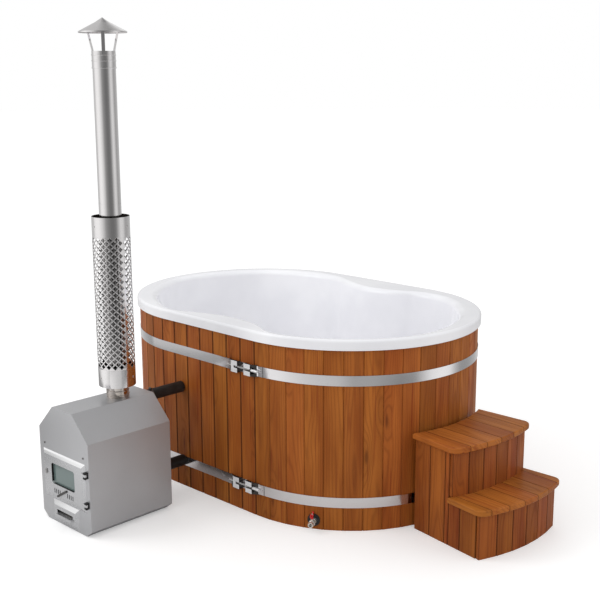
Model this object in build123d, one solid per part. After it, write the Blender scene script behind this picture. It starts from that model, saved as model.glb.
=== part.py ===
# Wooden hot tub with a moulded white basin, a wood-fired heater beside it and a pair of steps.
# X runs along the tub towards the steps, Y away from the heater and Z up, from the floor under the tub's centre.
from build123d import *
from math import atan2, cos, degrees, hypot, pi, radians, sin, sqrt
import os

os.makedirs("parts", exist_ok=True)

# Tub wall of upright staves
tub_length = 2000.0
tub_width = 1338.0
stave_height = 921.0
stave_thickness = 26.0
stave_edge_bevel = 3.0
side_stave_width = 100.0
side_stave_count = 7
side_stave_shift = -20.0
end_stave_count = 22

# Basin of moulded plastic with a wide rim that hangs over the staves
basin_wall = 8.0
rim_thickness = 16.0
rim_overhang = 12.5
rim_skirt_depth = 50.0
rim_edge_radius = 14.0
well_roll_width = 36.0
well_roll_height = 30.0
well_roll_steps = 4
well_left_reach = 930.0
well_right_reach = 936.0
well_near_reach = 623.0
well_far_reach = 585.0
basin_draft = 50.0
seat_height = 450.0
foot_well_length = 720.0
foot_well_width = 832.0
foot_well_draft = 20.0
foot_well_corner = 50.0
basin_floor_height = 110.0
waste_x = 190.0
waste_y = -270.0
waste_radius = 32.0
waste_pot_depth = 52.0
waste_flange = 3.0
waste_pipe_radius = 11.0
waste_pipe_wall = 2.0
waste_hole_radius = 2.5
waste_hole_circle_radius = 9.0
waste_hole_count = 7
waste_pot_extra = 4.0
waste_bend_radius = 44.0

# Timber under the basin
joist_width = 45.0
joist_height = 80.0
joist_length = 880.0
joist_pitch = 200.0
joist_count = 5
deck_board_width = 110.0
deck_board_thickness = 22.0
deck_board_pitch = 118.0
deck_board_count = 7
deck_overhang = 20.0
seat_post_width = 70.0
seat_post_x = 610.0
seat_post_y = 230.0
ring_width = 18.0
ring_height = 60.0
upper_ring_height = 700.0
lower_ring_height = 180.0

# Steel hoops with tension clasps
hoop_width = 50.0
hoop_thickness = 2.0
upper_hoop_height = 740.0
lower_hoop_height = 141.5
clasp_x = 253.5
lug_gap = 46.0
lug_plate_width = 45.0
lug_leg_run = 31.0
lug_depth = 22.0
lug_sheet = 2.5
lug_height = 58.0
lug_side_band = 7.0
left_rivet_distance = 59.0
right_rivet_distance = 20.0
rivet_margin = 14.0
rod_slot_height = 12.0
rod_slot_reach = 23.5
lug_block_length = 8.0
lug_block_back = 5.0
lug_block_height = 50.0
rivet_radius = 6.0
rivet_rise = 2.5
rod_radius = 4.0
rod_left_tail = 34.5
rod_right_gap = 2.0
nut_radius = 7.5
nut_length = 42.0
rod_clearance = 0.05

# Hoses and the fittings that carry them through the wall
hose_x = -220.0
upper_hose_height = 546.0
lower_hose_height = 145.0
hose_radius = 29.0
spigot_radius = 21.0
spigot_wall = 2.5
spigot_fit = 0.3
spigot_flange_radius = 31.0
upper_flange_reach = 14.0
lower_flange_reach = 7.0
heater_spigot_length = 62.0
hose_end_gap = 0.3
clamp_band_thickness = 1.2
clamp_band_width = 12.0
clamp_screw_radius = 5.0
clamp_screw_length = 18.0
clamp_distance = 40.0
clamp_fit = 0.03

# Drain valve near the steps
drain_stave_index = 3
drain_height = 43.0
rosette_rise = 4.0
rosette_radius = 31.0
rosette_thickness = 4.0
drain_nut_radius = 16.0
drain_nut_length = 9.0
valve_neck_radius = 9.5
valve_neck_length = 9.0
valve_chamber_radius = 15.0
valve_chamber_length = 20.0
valve_chamber_bevel = 3.0
valve_ball_radius = 10.0
valve_ball_bore = 6.5
valve_ball_fit = 0.06
valve_outlet_radius = 12.5
valve_outlet_length = 16.0
valve_outlet_bore = 8.5
valve_bonnet_radius = 7.0
valve_bonnet_height = 20.0
valve_stem_radius = 3.5
valve_stem_fit = 0.05
wing_hub_radius = 6.0
wing_hub_height = 22.0
wing_hub_gap = 0.3
wing_length = 28.0
wing_height = 14.0
wing_thickness = 5.0
wing_rise = 12.0
wing_nut_radius = 4.5
wing_nut_height = 4.0

# Wood-fired heater: a folded aluminium water jacket round a firebox
heater_x = -225.0
heater_front_y = -1391.5
heater_length = 478.5
heater_width = 406.0
heater_height = 584.0
heater_shoulder_height = 463.0
heater_top_width = 162.0
heater_foot_chamfer_width = 42.0
heater_foot_chamfer_height = 32.0
heater_sheet = 3.0
firebox_width = 336.0
firebox_top = 400.0
firebox_floor = 128.0
firebox_back_space = 34.0
firebox_shoulder = 60.0
ash_tunnel_width = 192.0
ash_tunnel_floor = 9.0
ash_tunnel_top = 116.0
front_opening_width = 294.0
front_opening_low = 142.0
front_opening_high = 330.0
grate_width = 150.0
grate_length = 300.0
grate_bar_count = 9
grate_bar_width = 10.0
grate_thickness = 10.0
grate_ledge = 12.0
grate_front_space = 60.0
plate_screw_radius = 5.0
plate_screw_height = 2.5
plate_screw_spread = 160.0
plate_screw_z = 388.0
flue_x = -225.0
flue_y = -1067.0

# Firebox door with a window and an air slide
door_width = 348.0
door_low = 120.0
door_high = 360.0
door_bevel = 20.0
door_thickness = 11.0
window_width = 191.0
window_low = 202.0
window_high = 305.0
window_corner = 12.0
glass_thickness = 4.0
glass_lap = 9.0
glass_frame_thickness = 2.5
glass_frame_width = 12.5
glass_frame_inner_lap = 3.0
hinge_x = -38.0
hinge_out = 10.0
hinge_pin_radius = 3.0
hinge_fit = 0.05
hinge_block_half = 8.0
hinge_block_height = 32.0
hinge_slot_height = 14.0
hinge_tongue_height = 13.0
upper_hinge_height = 313.0
lower_hinge_height = 164.0
leaf_height = 34.0
leaf_drop = 12.0
leaf_thickness = 3.0
leaf_eye_radius = 7.0
hinge_block_wall = 1.8
vent_height = 23.0
vent_width = 6.0
vent_pitch = 15.0
vent_count = 4
vent_offset = 54.0
vent_centre_height = 168.0
air_slide_thickness = 2.0
air_slide_gap = 0.3
air_slide_margin = 4.5
air_slide_travel = 7.5
air_rail_thickness = 3.0
air_rail_height = 4.0
air_rail_hook = 3.0
lever_length = 94.0
lever_width = 11.0
lever_thickness = 5.0
lever_tilt = 31.0
lever_x_shift = -11.0
lever_gap = 0.4
lever_pivot_radius = 4.0
lever_pivot_fit = 0.05
crank_pin_radius = 2.0
crank_slot_slack = 0.35
crank_web_thickness = 2.0
latch_x_shift = -138.0
latch_height = 252.0
latch_knob_width = 13.0
latch_knob_height = 25.0
latch_knob_rise = 4.0
latch_spindle_radius = 5.0
latch_fit = 0.05
latch_tongue_length = 26.0
latch_tongue_width = 11.0
latch_tongue_thickness = 4.0
latch_clearance = 3.0

# Ash drawer under the door
drawer_face_width = 217.0
drawer_face_low = 8.0
drawer_face_high = 117.0
drawer_bevel = 22.0
drawer_face_thickness = 11.0
drawer_tray_width = 184.0
drawer_tray_height = 84.0
drawer_tray_length = 400.0
drawer_tray_sheet = 2.0
drawer_run_gap = 0.3
drawer_pull_width = 130.0
drawer_pull_height = 17.0
drawer_pull_z = 66.0
drawer_grip_depth = 12.0
drawer_grip_thickness = 2.0
drawer_grip_drop = 14.0

# Chimney with a perforated heat guard and a rain cap
flue_radius = 53.0
flue_wall = 1.5
collar_height = 36.0
collar_wall = 2.0
collar_fit = 0.2
collar_bead = 1.5
collar_bead_height = 4.0
collar_bead_shares = (0.45, 1.0)
flue_joint_height = 1531.0
flue_lap = 40.0
flue_seam_height = 8.0
cap_sleeve_low = 2149.0
cap_sleeve_high = 2228.0
cap_sleeve_wall = 1.5
cap_bead = 1.2
cap_bead_height = 5.0
cap_bead_shares = (0.42, 0.75)
cap_rim_height = 2309.0
cap_rim_radius = 111.0
cap_lip_height = 6.0
cap_step_height = 2350.0
cap_step_radius = 44.0
cap_step_width = 4.0
cap_apex_height = 2377.0
cap_sheet = 1.5
cap_strut_count = 3
cap_strut_width = 16.0
cap_strut_thickness = 2.5
cap_strut_top_radius = 80.0
cap_strut_turn = -35.0
cap_strut_sink = 3.0
guard_radius = 90.0
guard_wall = 1.5
guard_low = 645.0
guard_high = 1471.0
guard_band = 90.0
guard_hole_columns = 18
guard_hole_rows = 21
guard_hole_size = 17.0
guard_spacer_radius = 5.0
guard_spacer_count = 3
guard_spacer_turn = 25.0
guard_screw_rise = 1.5

# Steps on the right of the tub
step_turn = -4.4
step_axis_y = 40.0
upper_tread_height = 480.0
lower_tread_height = 240.0
tread_thickness = 28.0
step_back_radius = 702.0
upper_front_reach = 1318.0
upper_front_radius = 900.0
lower_front_reach = 1500.0
lower_front_radius = 850.0
tread_side_overhang = 18.0
tread_front_overhang = 25.0
tread_corner_radius = 45.0
step_half_width_at_back = 245.0
step_splay = 5.1
upper_riser_count = 6
lower_riser_count = 6
side_seam_reach = 776.0
side_seam_count = 4
tread_plank_width = 97.0
tread_plank_gap = 0.6
step_board_width = 99.0
step_board_thickness = 21.0
step_board_bevel = 2.5
narrowest_step_board = 20.0
step_back_overlap = 70.0
batten_width = 45.0
batten_thickness = 35.0

# Shared cutting overrun, gaps between neighbouring pieces and boards, and the bow below which an arc is straight
overrun = 5.0
touch_gap = 0.3
board_gap = 0.4
straight_bow = 0.003
corner_passes = 4

# Values worked out from the dimensions above
end_radius = tub_width / 2
end_centre = tub_length / 2 - end_radius
half_perimeter = 2 * end_centre + pi * end_radius
rim_top = stave_height + rim_thickness
lug_start = lug_gap / 2
lug_turn = lug_start + lug_plate_width
lug_end = lug_turn + lug_leg_run
lug_back = hoop_thickness + touch_gap
lug_rise = lug_depth - lug_back
lug_slope_width = lug_sheet * sqrt(lug_leg_run ** 2 + lug_rise ** 2) / lug_rise
lug_inner_turn = lug_turn + lug_sheet * lug_leg_run / lug_rise - lug_slope_width
rod_depth = (lug_block_back + lug_depth - lug_sheet - touch_gap) / 2
wall_y = -end_radius
heater_back_y = heater_front_y + heater_length
heater_inside_y = heater_front_y + heater_sheet
door_front_y = heater_front_y - door_thickness
flue_inner_radius = flue_radius - flue_wall


def save(shape, name):
    export_step(shape, "parts/" + name + ".step")


def solids_of(shape):
    return list(shape.solids())


def group(pieces, name):
    """Write a group of separate solids as one node."""
    flat = [one for piece in pieces for one in solids_of(piece)]
    save(Compound(children=flat) if len(flat) > 1 else flat[0], name)


def block(x_low, x_high, y_low, y_high, z_low, z_high):
    """A box between two corners."""
    centre = Location(((x_low + x_high) / 2, (y_low + y_high) / 2, (z_low + z_high) / 2))
    return centre * Box(x_high - x_low, y_high - y_low, z_high - z_low)


def post(x, y, z_low, z_high, radius):
    """An upright cylinder."""
    return Location((x, y, (z_low + z_high) / 2)) * Cylinder(radius, z_high - z_low)


def rod_along_y(x, z, y_low, y_high, radius):
    """A cylinder that runs along Y."""
    return Location((x, (y_low + y_high) / 2, z), (90, 0, 0)) * Cylinder(radius, y_high - y_low)


def rod_along_x(y, z, x_low, x_high, radius):
    """A cylinder that runs along X."""
    return Location(((x_low + x_high) / 2, y, z), (0, 90, 0)) * Cylinder(radius, x_high - x_low)


def plate(points, z_low, z_high):
    """An upright prism on a plan outline."""
    return Location((0, 0, z_low)) * extrude(make_face(Polyline(*points, close=True)), z_high - z_low)


def opposite(shape):
    """The same piece half a turn round the tub's centre."""
    return shape.rotate(Axis.Z, 180)


# The tub's outline: two straight sides joined by half circles, measured along its edge from the near side's middle

def outline_spot(distance, offset):
    """Point on the outline, moved outwards by offset."""
    turn = (distance + end_centre) % (2 * half_perimeter)
    if turn <= 2 * end_centre:
        return (turn - end_centre, -end_radius - offset)
    turn -= 2 * end_centre
    if turn <= pi * end_radius:
        angle = turn / end_radius - pi / 2
        return (end_centre + (end_radius + offset) * cos(angle), (end_radius + offset) * sin(angle))
    turn -= pi * end_radius
    if turn <= 2 * end_centre:
        return (end_centre - turn, end_radius + offset)
    angle = (turn - 2 * end_centre) / end_radius + pi / 2
    return (-end_centre + (end_radius + offset) * cos(angle), (end_radius + offset) * sin(angle))


def outline_edges(start, finish, offset):
    """Lines and arcs along the outline between two distances."""
    corners = [end_centre + turn * half_perimeter for turn in range(-2, 4)]
    corners += [corner - 2 * end_centre for corner in corners]
    stops = [start] + sorted(one for one in corners if start < one < finish) + [finish]
    edges = []
    for low, high in zip(stops, stops[1:]):
        middle = outline_spot((low + high) / 2, offset)
        first, last = outline_spot(low, offset), outline_spot(high, offset)
        bow = hypot(middle[0] - (first[0] + last[0]) / 2, middle[1] - (first[1] + last[1]) / 2)
        if bow < straight_bow:
            edges.append(Line(first, last))
        else:
            edges.append(ThreePointArc(first, middle, last))
    return edges


def strip(start, finish, offset, thickness, z_low, z_high):
    """A band that follows the outline."""
    inner = outline_edges(start, finish, offset)
    outer = outline_edges(start, finish, offset + thickness)
    ends = [
        Line(outline_spot(start, offset), outline_spot(start, offset + thickness)),
        Line(outline_spot(finish, offset), outline_spot(finish, offset + thickness)),
    ]
    face = make_face(Wire([edge for edge in inner + outer + ends]))
    return Location((0, 0, z_low)) * extrude(face, z_high - z_low, dir=(0, 0, 1))


def outline_slab(offset, z_low, z_high):
    """A flat slab of the tub's whole outline."""
    face = SlotOverall(tub_length + 2 * offset, tub_width + 2 * offset)
    return Location((0, 0, z_low)) * extrude(face, z_high - z_low)


# Staves, each a flat board whose edges are cut square to the outline

def stave_seams():
    """Distances along the outline where two staves meet, all the way round."""
    first = side_stave_shift - side_stave_width * side_stave_count / 2
    side = [first + side_stave_width * number for number in range(side_stave_count + 1)]
    end_width = (half_perimeter - side_stave_width * side_stave_count) / end_stave_count
    end = [side[-1] + end_width * number for number in range(1, end_stave_count + 1)]
    half = side + end
    return half + [one + half_perimeter for one in half[1:]]


def seam_corner(number, depth):
    """Where a seam reaches a depth below the faces of the two staves beside it."""
    spots = [outline_spot(seams[(number + step) % stave_count], 0) for step in (-1, 0, 1)]
    inner = outline_spot(seams[number], -depth)
    edge = ((inner[0] - spots[1][0]) / depth, (inner[1] - spots[1][1]) / depth)
    reaches = []
    for first, last in ((spots[0], spots[1]), (spots[1], spots[2])):
        along = ((last[0] - first[0]), (last[1] - first[1]))
        square = (-along[1] * edge[0] + along[0] * edge[1]) / hypot(*along)
        reaches.append(depth / abs(square))
    reach = max(reaches)
    return (spots[1][0] + edge[0] * reach, spots[1][1] + edge[1] * reach)


def board_on(first, last, first_inner, last_inner, thickness, bevel, z_low, z_high):
    """A flat board between two outer corners; the inner points only give the direction of its edges."""
    chord = (last[0] - first[0], last[1] - first[1])
    length = hypot(*chord)
    along = (chord[0] / length, chord[1] / length)
    inward = (-along[1], along[0])
    ease = (along[0] * board_gap / 2, along[1] * board_gap / 2)
    first, first_inner = [(spot[0] + ease[0], spot[1] + ease[1]) for spot in (first, first_inner)]
    last, last_inner = [(spot[0] - ease[0], spot[1] - ease[1]) for spot in (last, last_inner)]

    def down(corner, inner, depth):
        edge = (inner[0] - corner[0], inner[1] - corner[1])
        reach = depth / (edge[0] * inward[0] + edge[1] * inward[1])
        return (corner[0] + edge[0] * reach, corner[1] + edge[1] * reach)

    points = [
        (first[0] + along[0] * bevel, first[1] + along[1] * bevel),
        (last[0] - along[0] * bevel, last[1] - along[1] * bevel),
        down(last, last_inner, bevel),
        down(last, last_inner, thickness),
        down(first, first_inner, thickness),
        down(first, first_inner, bevel),
    ]
    return plate(points, z_low, z_high)


def stave(start, finish):
    return board_on(
        outline_spot(start, 0), outline_spot(finish, 0),
        outline_spot(start, -stave_thickness), outline_spot(finish, -stave_thickness),
        stave_thickness, stave_edge_bevel, 0, stave_height,
    )


seams = stave_seams()
stave_count = len(seams) - 1
hose_heights = (upper_hose_height, lower_hose_height)
hose_holes = [
    rod_along_y(hose_x, height, wall_y - overrun - hoop_thickness, wall_y + stave_thickness + overrun,
                spigot_radius + spigot_fit)
    for height in hose_heights
]

drain_start = seams[side_stave_count + drain_stave_index]
drain_finish = seams[side_stave_count + drain_stave_index + 1]
drain_corner_a = outline_spot(drain_start, 0)
drain_corner_b = outline_spot(drain_finish, 0)
drain_run = atan2(drain_corner_b[1] - drain_corner_a[1], drain_corner_b[0] - drain_corner_a[0])
drain_direction = (sin(drain_run), -cos(drain_run))
drain_angle = degrees(drain_run) - 90
drain_x = (drain_corner_a[0] + drain_corner_b[0]) / 2
drain_y = (drain_corner_a[1] + drain_corner_b[1]) / 2
drain_place = Location((drain_x, drain_y, drain_height), (0, 0, drain_angle))
along_local_x = Rotation(0, 90, 0)


def local_rod(x_low, x_high, radius):
    """A cylinder along the valve's own X axis."""
    return Location(((x_low + x_high) / 2, 0, 0)) * along_local_x * Cylinder(radius, x_high - x_low)


drain_hole = drain_place * local_rod(-stave_thickness - overrun, rosette_thickness + overrun,
                                     waste_pipe_radius + spigot_fit)


def make_staves():
    half = side_stave_count + end_stave_count
    ranges = {
        "staves_near_side": range(0, side_stave_count),
        "staves_step_end": range(side_stave_count, half),
        "staves_far_side": range(half, half + side_stave_count),
        "staves_left_end": range(half + side_stave_count, 2 * half),
    }
    for name, numbers in ranges.items():
        boards = []
        for number in numbers:
            board = stave(seams[number], seams[number + 1])
            if seams[number] < hose_x < seams[number + 1]:
                board = board - hose_holes[0] - hose_holes[1]
            if number == side_stave_count + drain_stave_index:
                board = board - drain_hole
            boards.append(board)
        group(boards, name)


# Basin: rim, well and foot well in one moulding

well_shares = [
    (-0.943, -0.334), (-0.862, -0.526), (-0.743, -0.716), (-0.652, -0.811), (-0.556, -0.893), (-0.460, -0.967),
    (-0.382, -0.999), (-0.296, -0.998), (-0.213, -0.953), (-0.118, -0.902), (-0.028, -0.867), (0.053, -0.859),
    (0.139, -0.864), (0.233, -0.886), (0.310, -0.928), (0.383, -0.978), (0.454, -0.989), (0.534, -0.963),
    (0.653, -0.893), (0.733, -0.822), (0.803, -0.738), (0.921, -0.524), (0.969, -0.383), (1.000, -0.206),
    (0.989, 0.057), (0.921, 0.381), (0.882, 0.495), (0.793, 0.665), (0.654, 0.859), (0.504, 0.950),
    (0.369, 0.940), (0.262, 0.862), (0.169, 0.817), (0.045, 0.798), (-0.056, 0.836), (-0.160, 0.896),
    (-0.294, 0.983), (-0.390, 1.000), (-0.480, 0.992), (-0.655, 0.896), (-0.840, 0.668), (-0.942, 0.411),
    (-1.000, -0.092),
]


def well_wire(inset, height):
    """The two-lobed outline of the well at one height."""
    points = []
    for x_share, y_share in well_shares:
        x_reach = (well_right_reach if x_share > 0 else well_left_reach) - inset
        y_reach = (well_far_reach if y_share > 0 else well_near_reach) - inset
        points.append((x_share * x_reach, y_share * y_reach, height))
    return Wire([Spline(*points, periodic=True)])


def well_loft(low_inset, high_inset, z_low, z_high):
    return Solid.make_loft([well_wire(low_inset, z_low), well_wire(high_inset, z_high)], ruled=True)


def foot_well(extra, z_low, z_high):
    """The deep middle of the basin, larger by extra all round."""
    def level(height, shrink):
        outline = RectangleRounded(
            foot_well_length - 2 * shrink + 2 * extra, foot_well_width - 2 * shrink + 2 * extra,
            foot_well_corner + extra,
        )
        return Location((0, 0, height)) * outline
    span = seat_height - basin_floor_height
    low_shrink = foot_well_draft * (seat_height - z_low) / span
    high_shrink = foot_well_draft * (seat_height - z_high) / span
    return loft([level(z_low, low_shrink), level(z_high, high_shrink)], ruled=True)


def well_inset_at(height):
    """How far the well's wall has drawn in at a height, or flared out where it rolls into the rim."""
    drawn = basin_draft * (rim_top - height) / (rim_top - seat_height)
    below = min((rim_top - height) / well_roll_height, 1)
    return drawn - well_roll_width * (1 - sqrt(1 - (1 - below) ** 2))


def basin_cavity():
    cavity = foot_well(0, basin_floor_height, seat_height)
    low = seat_height
    for step in range(well_roll_steps):
        high = rim_top - well_roll_height * (1 - sin(pi / 2 * step / (well_roll_steps - 1)))
        cavity = cavity + well_loft(well_inset_at(low), well_inset_at(high), low, high)
        low = high
    return cavity + well_loft(-well_roll_width, -well_roll_width, rim_top, rim_top + overrun)


def make_basin(cavity):
    skirt_low = rim_top - rim_skirt_depth
    rim = outline_slab(rim_overhang, skirt_low, rim_top)
    rim = fillet(rim.edges().group_by(Axis.Z)[-1], rim_edge_radius)
    rim = rim - outline_slab(rim_overhang - basin_wall, skirt_low - overrun, stave_height)
    seat_under = seat_height - basin_wall
    floor_under = basin_floor_height - basin_wall
    roll_low = rim_top - well_roll_height
    shell = rim + foot_well(basin_wall, floor_under, seat_height)
    shell = shell + well_loft(basin_draft - basin_wall, well_inset_at(roll_low) - basin_wall, seat_under, roll_low)
    shell = shell + well_loft(well_inset_at(roll_low) - basin_wall, well_inset_at(stave_height) - basin_wall,
                              roll_low, stave_height)
    shell = shell - cavity
    for height in hose_heights:
        shell = shell - rod_along_y(hose_x, height, wall_y, 0, spigot_radius)
    shell = shell - post(waste_x, waste_y, floor_under - overrun, basin_floor_height + overrun, waste_radius / 2)
    save(shell, "basin")
    return shell


def make_waste():
    """Floor drain of the basin: a strainer, a pot below it and a pipe to the valve."""
    neck = waste_radius / 2
    pot_top = basin_floor_height - basin_wall
    pot_low = pot_top - waste_pot_depth
    flange = post(waste_x, waste_y, basin_floor_height, basin_floor_height + waste_flange, waste_radius)
    stem = post(waste_x, waste_y, pot_top, basin_floor_height, neck)
    strainer = flange + stem - post(waste_x, waste_y, pot_top - overrun, basin_floor_height, neck - waste_pipe_wall)
    for number in range(waste_hole_count):
        angle = 2 * pi * number / waste_hole_count
        x = waste_x + waste_hole_circle_radius * cos(angle)
        y = waste_y + waste_hole_circle_radius * sin(angle)
        strainer = strainer - post(x, y, basin_floor_height - overrun, basin_floor_height + overrun,
                                   waste_hole_radius)
    save(strainer, "waste_strainer")
    pot_radius = neck + waste_pot_extra
    pot = post(waste_x, waste_y, pot_low, pot_top, pot_radius)
    hollow = post(waste_x, waste_y, pot_low + waste_pipe_wall, pot_top + overrun, pot_radius - waste_pipe_wall)
    run = (waste_y - drain_y) / -drain_direction[1]
    start_x = waste_x + pot_radius - waste_pipe_wall
    inlet = Vector(start_x, waste_y, drain_height)
    corner = Vector(drain_x - drain_direction[0] * run, waste_y, drain_height)
    outlet = Vector(drain_x + drain_direction[0] * rosette_thickness,
                    drain_y + drain_direction[1] * rosette_thickness, drain_height)
    path = FilletPolyline(inlet, corner, outlet, radius=waste_bend_radius)
    start = Plane(origin=inlet, z_dir=(1, 0, 0))
    tube = sweep(start * Circle(waste_pipe_radius), path=path)
    inner = sweep(start * Circle(waste_pipe_radius - waste_pipe_wall), path=path)
    mouth = rod_along_x(waste_y, drain_height, waste_x, start_x + overrun, waste_pipe_radius - waste_pipe_wall)
    save(pot + tube - hollow - inner - mouth, "waste_pipe")
    return post(waste_x, waste_y, pot_low - overrun, pot_top + overrun, pot_radius + waste_pipe_wall)


def make_frame(pot_space):
    """Joists and deck that carry the basin, posts under its seats and rings behind the staves."""
    joists = []
    for number in range(joist_count):
        y = (number - (joist_count - 1) / 2) * joist_pitch
        joists.append(block(-joist_length / 2, joist_length / 2, y - joist_width / 2, y + joist_width / 2,
                            0, joist_height))
    group(joists, "floor_joists")
    deck = []
    deck_half = joist_pitch * (joist_count - 1) / 2 + joist_width / 2 + deck_overhang
    for number in range(deck_board_count):
        x = (number - (deck_board_count - 1) / 2) * deck_board_pitch
        deck.append(block(x - deck_board_width / 2, x + deck_board_width / 2, -deck_half, deck_half,
                          joist_height, joist_height + deck_board_thickness) - pot_space)
    group(deck, "deck_boards")
    posts = []
    for x in (-seat_post_x, seat_post_x):
        for y in (-seat_post_y, seat_post_y):
            posts.append(block(x - seat_post_width / 2, x + seat_post_width / 2,
                               y - seat_post_width / 2, y + seat_post_width / 2,
                               0, seat_height - basin_wall))
    group(posts, "seat_posts")
    rings = []
    for low in (upper_ring_height, lower_ring_height):
        outside = [seam_corner(number, stave_thickness) for number in range(stave_count)]
        inside = [seam_corner(number, stave_thickness + ring_width) for number in range(stave_count)]
        rings.append(plate(outside, low, low + ring_height)
                     - plate(inside, low - overrun, low + ring_height + overrun))
    group(rings, "stave_rings")


# Hoops, each in two halves that meet under a clasp

def make_hoops():
    for name, height in (("upper_hoop", upper_hoop_height), ("lower_hoop", lower_hoop_height)):
        low, high = height - hoop_width / 2, height + hoop_width / 2
        near = strip(clasp_x - half_perimeter + touch_gap, clasp_x, 0, hoop_thickness,
                     low, high)
        far = strip(clasp_x + touch_gap, clasp_x + half_perimeter, 0, hoop_thickness,
                    low, high)
        for hole in hose_holes:
            near = near - hole
        group([near, far], name)


def lug_spot(side, along, depth):
    """A point in plan: along the hoop from the clasp's middle, and out from the wall."""
    return (clasp_x + side * along, wall_y - depth)


def lug_block(side, start, finish, back, front, low, high):
    """A box in a lug's own directions."""
    x_low, x_high = sorted((clasp_x + side * start, clasp_x + side * finish))
    return block(x_low, x_high, wall_y - front, wall_y - back, low, high)


def lug_window(side, height):
    """The opening in a lug's sloping leg: nearly as tall as the plate, and narrow at the foot."""
    wide, narrow = lug_height / 2 - lug_side_band, rod_slot_height / 2
    corners = [(clasp_x + side * lug_turn, height + wide), (clasp_x + side * lug_end, height + narrow),
               (clasp_x + side * lug_end, height - narrow), (clasp_x + side * lug_turn, height - wide)]
    foot_front = hoop_thickness + hoop_thickness
    face = Plane.XZ * make_face(Polyline(*corners, close=True))
    return Location((0, wall_y - foot_front, 0)) * extrude(face, lug_depth, dir=(0, -1, 0))


def make_lug(side, height, rivet_distance, slot_reach):
    """Folded sheet: a foot on the hoop, a sloping leg, a front plate and a short leg back."""
    low, high = height - lug_height / 2, height + lug_height / 2
    outside = [lug_spot(side, lug_start, lug_back), lug_spot(side, lug_start, lug_depth),
               lug_spot(side, lug_turn, lug_depth), lug_spot(side, lug_end, lug_back)]
    inner_end = lug_end + overrun * lug_leg_run / lug_rise - lug_slope_width
    inside = [lug_spot(side, lug_start + lug_sheet, lug_back - overrun),
              lug_spot(side, lug_start + lug_sheet, lug_depth - lug_sheet),
              lug_spot(side, lug_inner_turn, lug_depth - lug_sheet),
              lug_spot(side, inner_end, lug_back - overrun)]
    lug = plate(outside, low, high) - plate(inside, low - overrun, high + overrun)
    foot_low, foot_high = sorted((clasp_x + side * (lug_end - lug_slope_width),
                                  clasp_x + side * (lug_end + rivet_distance + rivet_margin)))
    lug = lug + strip(foot_low, foot_high, hoop_thickness, hoop_thickness, height - hoop_width / 2,
                      height + hoop_width / 2)
    half_slot = rod_slot_height / 2
    slot = lug_block(side, lug_start - overrun, lug_start + slot_reach, rod_depth - half_slot,
                     lug_depth + overrun, height - half_slot, height + half_slot)
    return lug - lug_window(side, height) - slot


def make_clasps():
    lugs, blocks, rods, nuts, rivets = [], [], [], [], []
    rod_y = wall_y - rod_depth
    block_end = lug_inner_turn - touch_gap
    for height in (upper_hoop_height, lower_hoop_height):
        rod_low = clasp_x - lug_turn - rod_left_tail
        rod_high = clasp_x + block_end + nut_length - rod_right_gap
        rod = rod_along_x(rod_y, height, rod_low, rod_high, rod_radius)
        rods.append(rod)
        thread = rod_along_x(rod_y, height, rod_low - overrun, rod_high + overrun + rod_right_gap,
                             rod_radius + rod_clearance)
        for side, rivet_distance, slot_reach in ((-1, left_rivet_distance, rod_slot_reach),
                                                 (1, right_rivet_distance, lug_plate_width)):
            lugs.append(make_lug(side, height, rivet_distance, slot_reach))
            bearing = lug_block(side, block_end - lug_block_length, block_end, lug_block_back,
                                lug_depth - lug_sheet - touch_gap, height - lug_block_height / 2,
                                height + lug_block_height / 2)
            blocks.append(bearing - thread)
            rivet_s = clasp_x + side * (lug_end + rivet_distance)
            base = outline_spot(rivet_s, hoop_thickness + hoop_thickness)
            tip = outline_spot(rivet_s, hoop_thickness + hoop_thickness + rivet_rise)
            angle = degrees(atan2(tip[1] - base[1], tip[0] - base[0]))
            head = local_rod(0, rivet_rise, rivet_radius)
            rivets.append(Location((base[0], base[1], height), (0, 0, angle)) * head)
        hexagon = Plane.YZ * RegularPolygon(nut_radius, 6)
        nut = Location((clasp_x + block_end, rod_y, height)) * extrude(hexagon, nut_length, dir=(1, 0, 0))
        nuts.append(nut - thread)
    for name, pieces in (("clasp_lugs", lugs), ("clasp_blocks", blocks), ("clasp_rods", rods),
                         ("clasp_nuts", nuts), ("clasp_rivets", rivets)):
        group(pieces + [opposite(one) for one in pieces], name)


# Water fittings and hoses between heater and tub

def make_water_side(cavity):
    flanges, spigots, clamps = [], [], []
    hose_start = heater_back_y + hose_end_gap
    hose_finish = wall_y - hoop_thickness - hose_end_gap
    for name, height, reach in (("upper", upper_hose_height, upper_flange_reach),
                                ("lower", lower_hose_height, lower_flange_reach)):
        inner_end = basin_inner_y(height) + reach
        tube = rod_along_y(hose_x, height, wall_y - hoop_thickness - clamp_distance, inner_end, spigot_radius)
        bore = rod_along_y(hose_x, height, heater_back_y, 0, spigot_radius - spigot_wall)
        spigots.append(tube - bore)
        disc = rod_along_y(hose_x, height, wall_y, inner_end, spigot_flange_radius)
        flanges.append((disc & cavity) - tube - bore)
        hose = rod_along_y(hose_x, height, hose_start, hose_finish, hose_radius)
        hose = hose - rod_along_y(hose_x, height, hose_start - overrun, hose_finish + overrun,
                                  spigot_radius + spigot_fit)
        save(hose, name + "_hose")
        clamps.append(hose_clamp(height, heater_back_y + clamp_distance))
    group(flanges, "basin_inlet_flanges")
    group(spigots, "wall_spigots")
    group(clamps, "hose_clamps")


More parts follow.
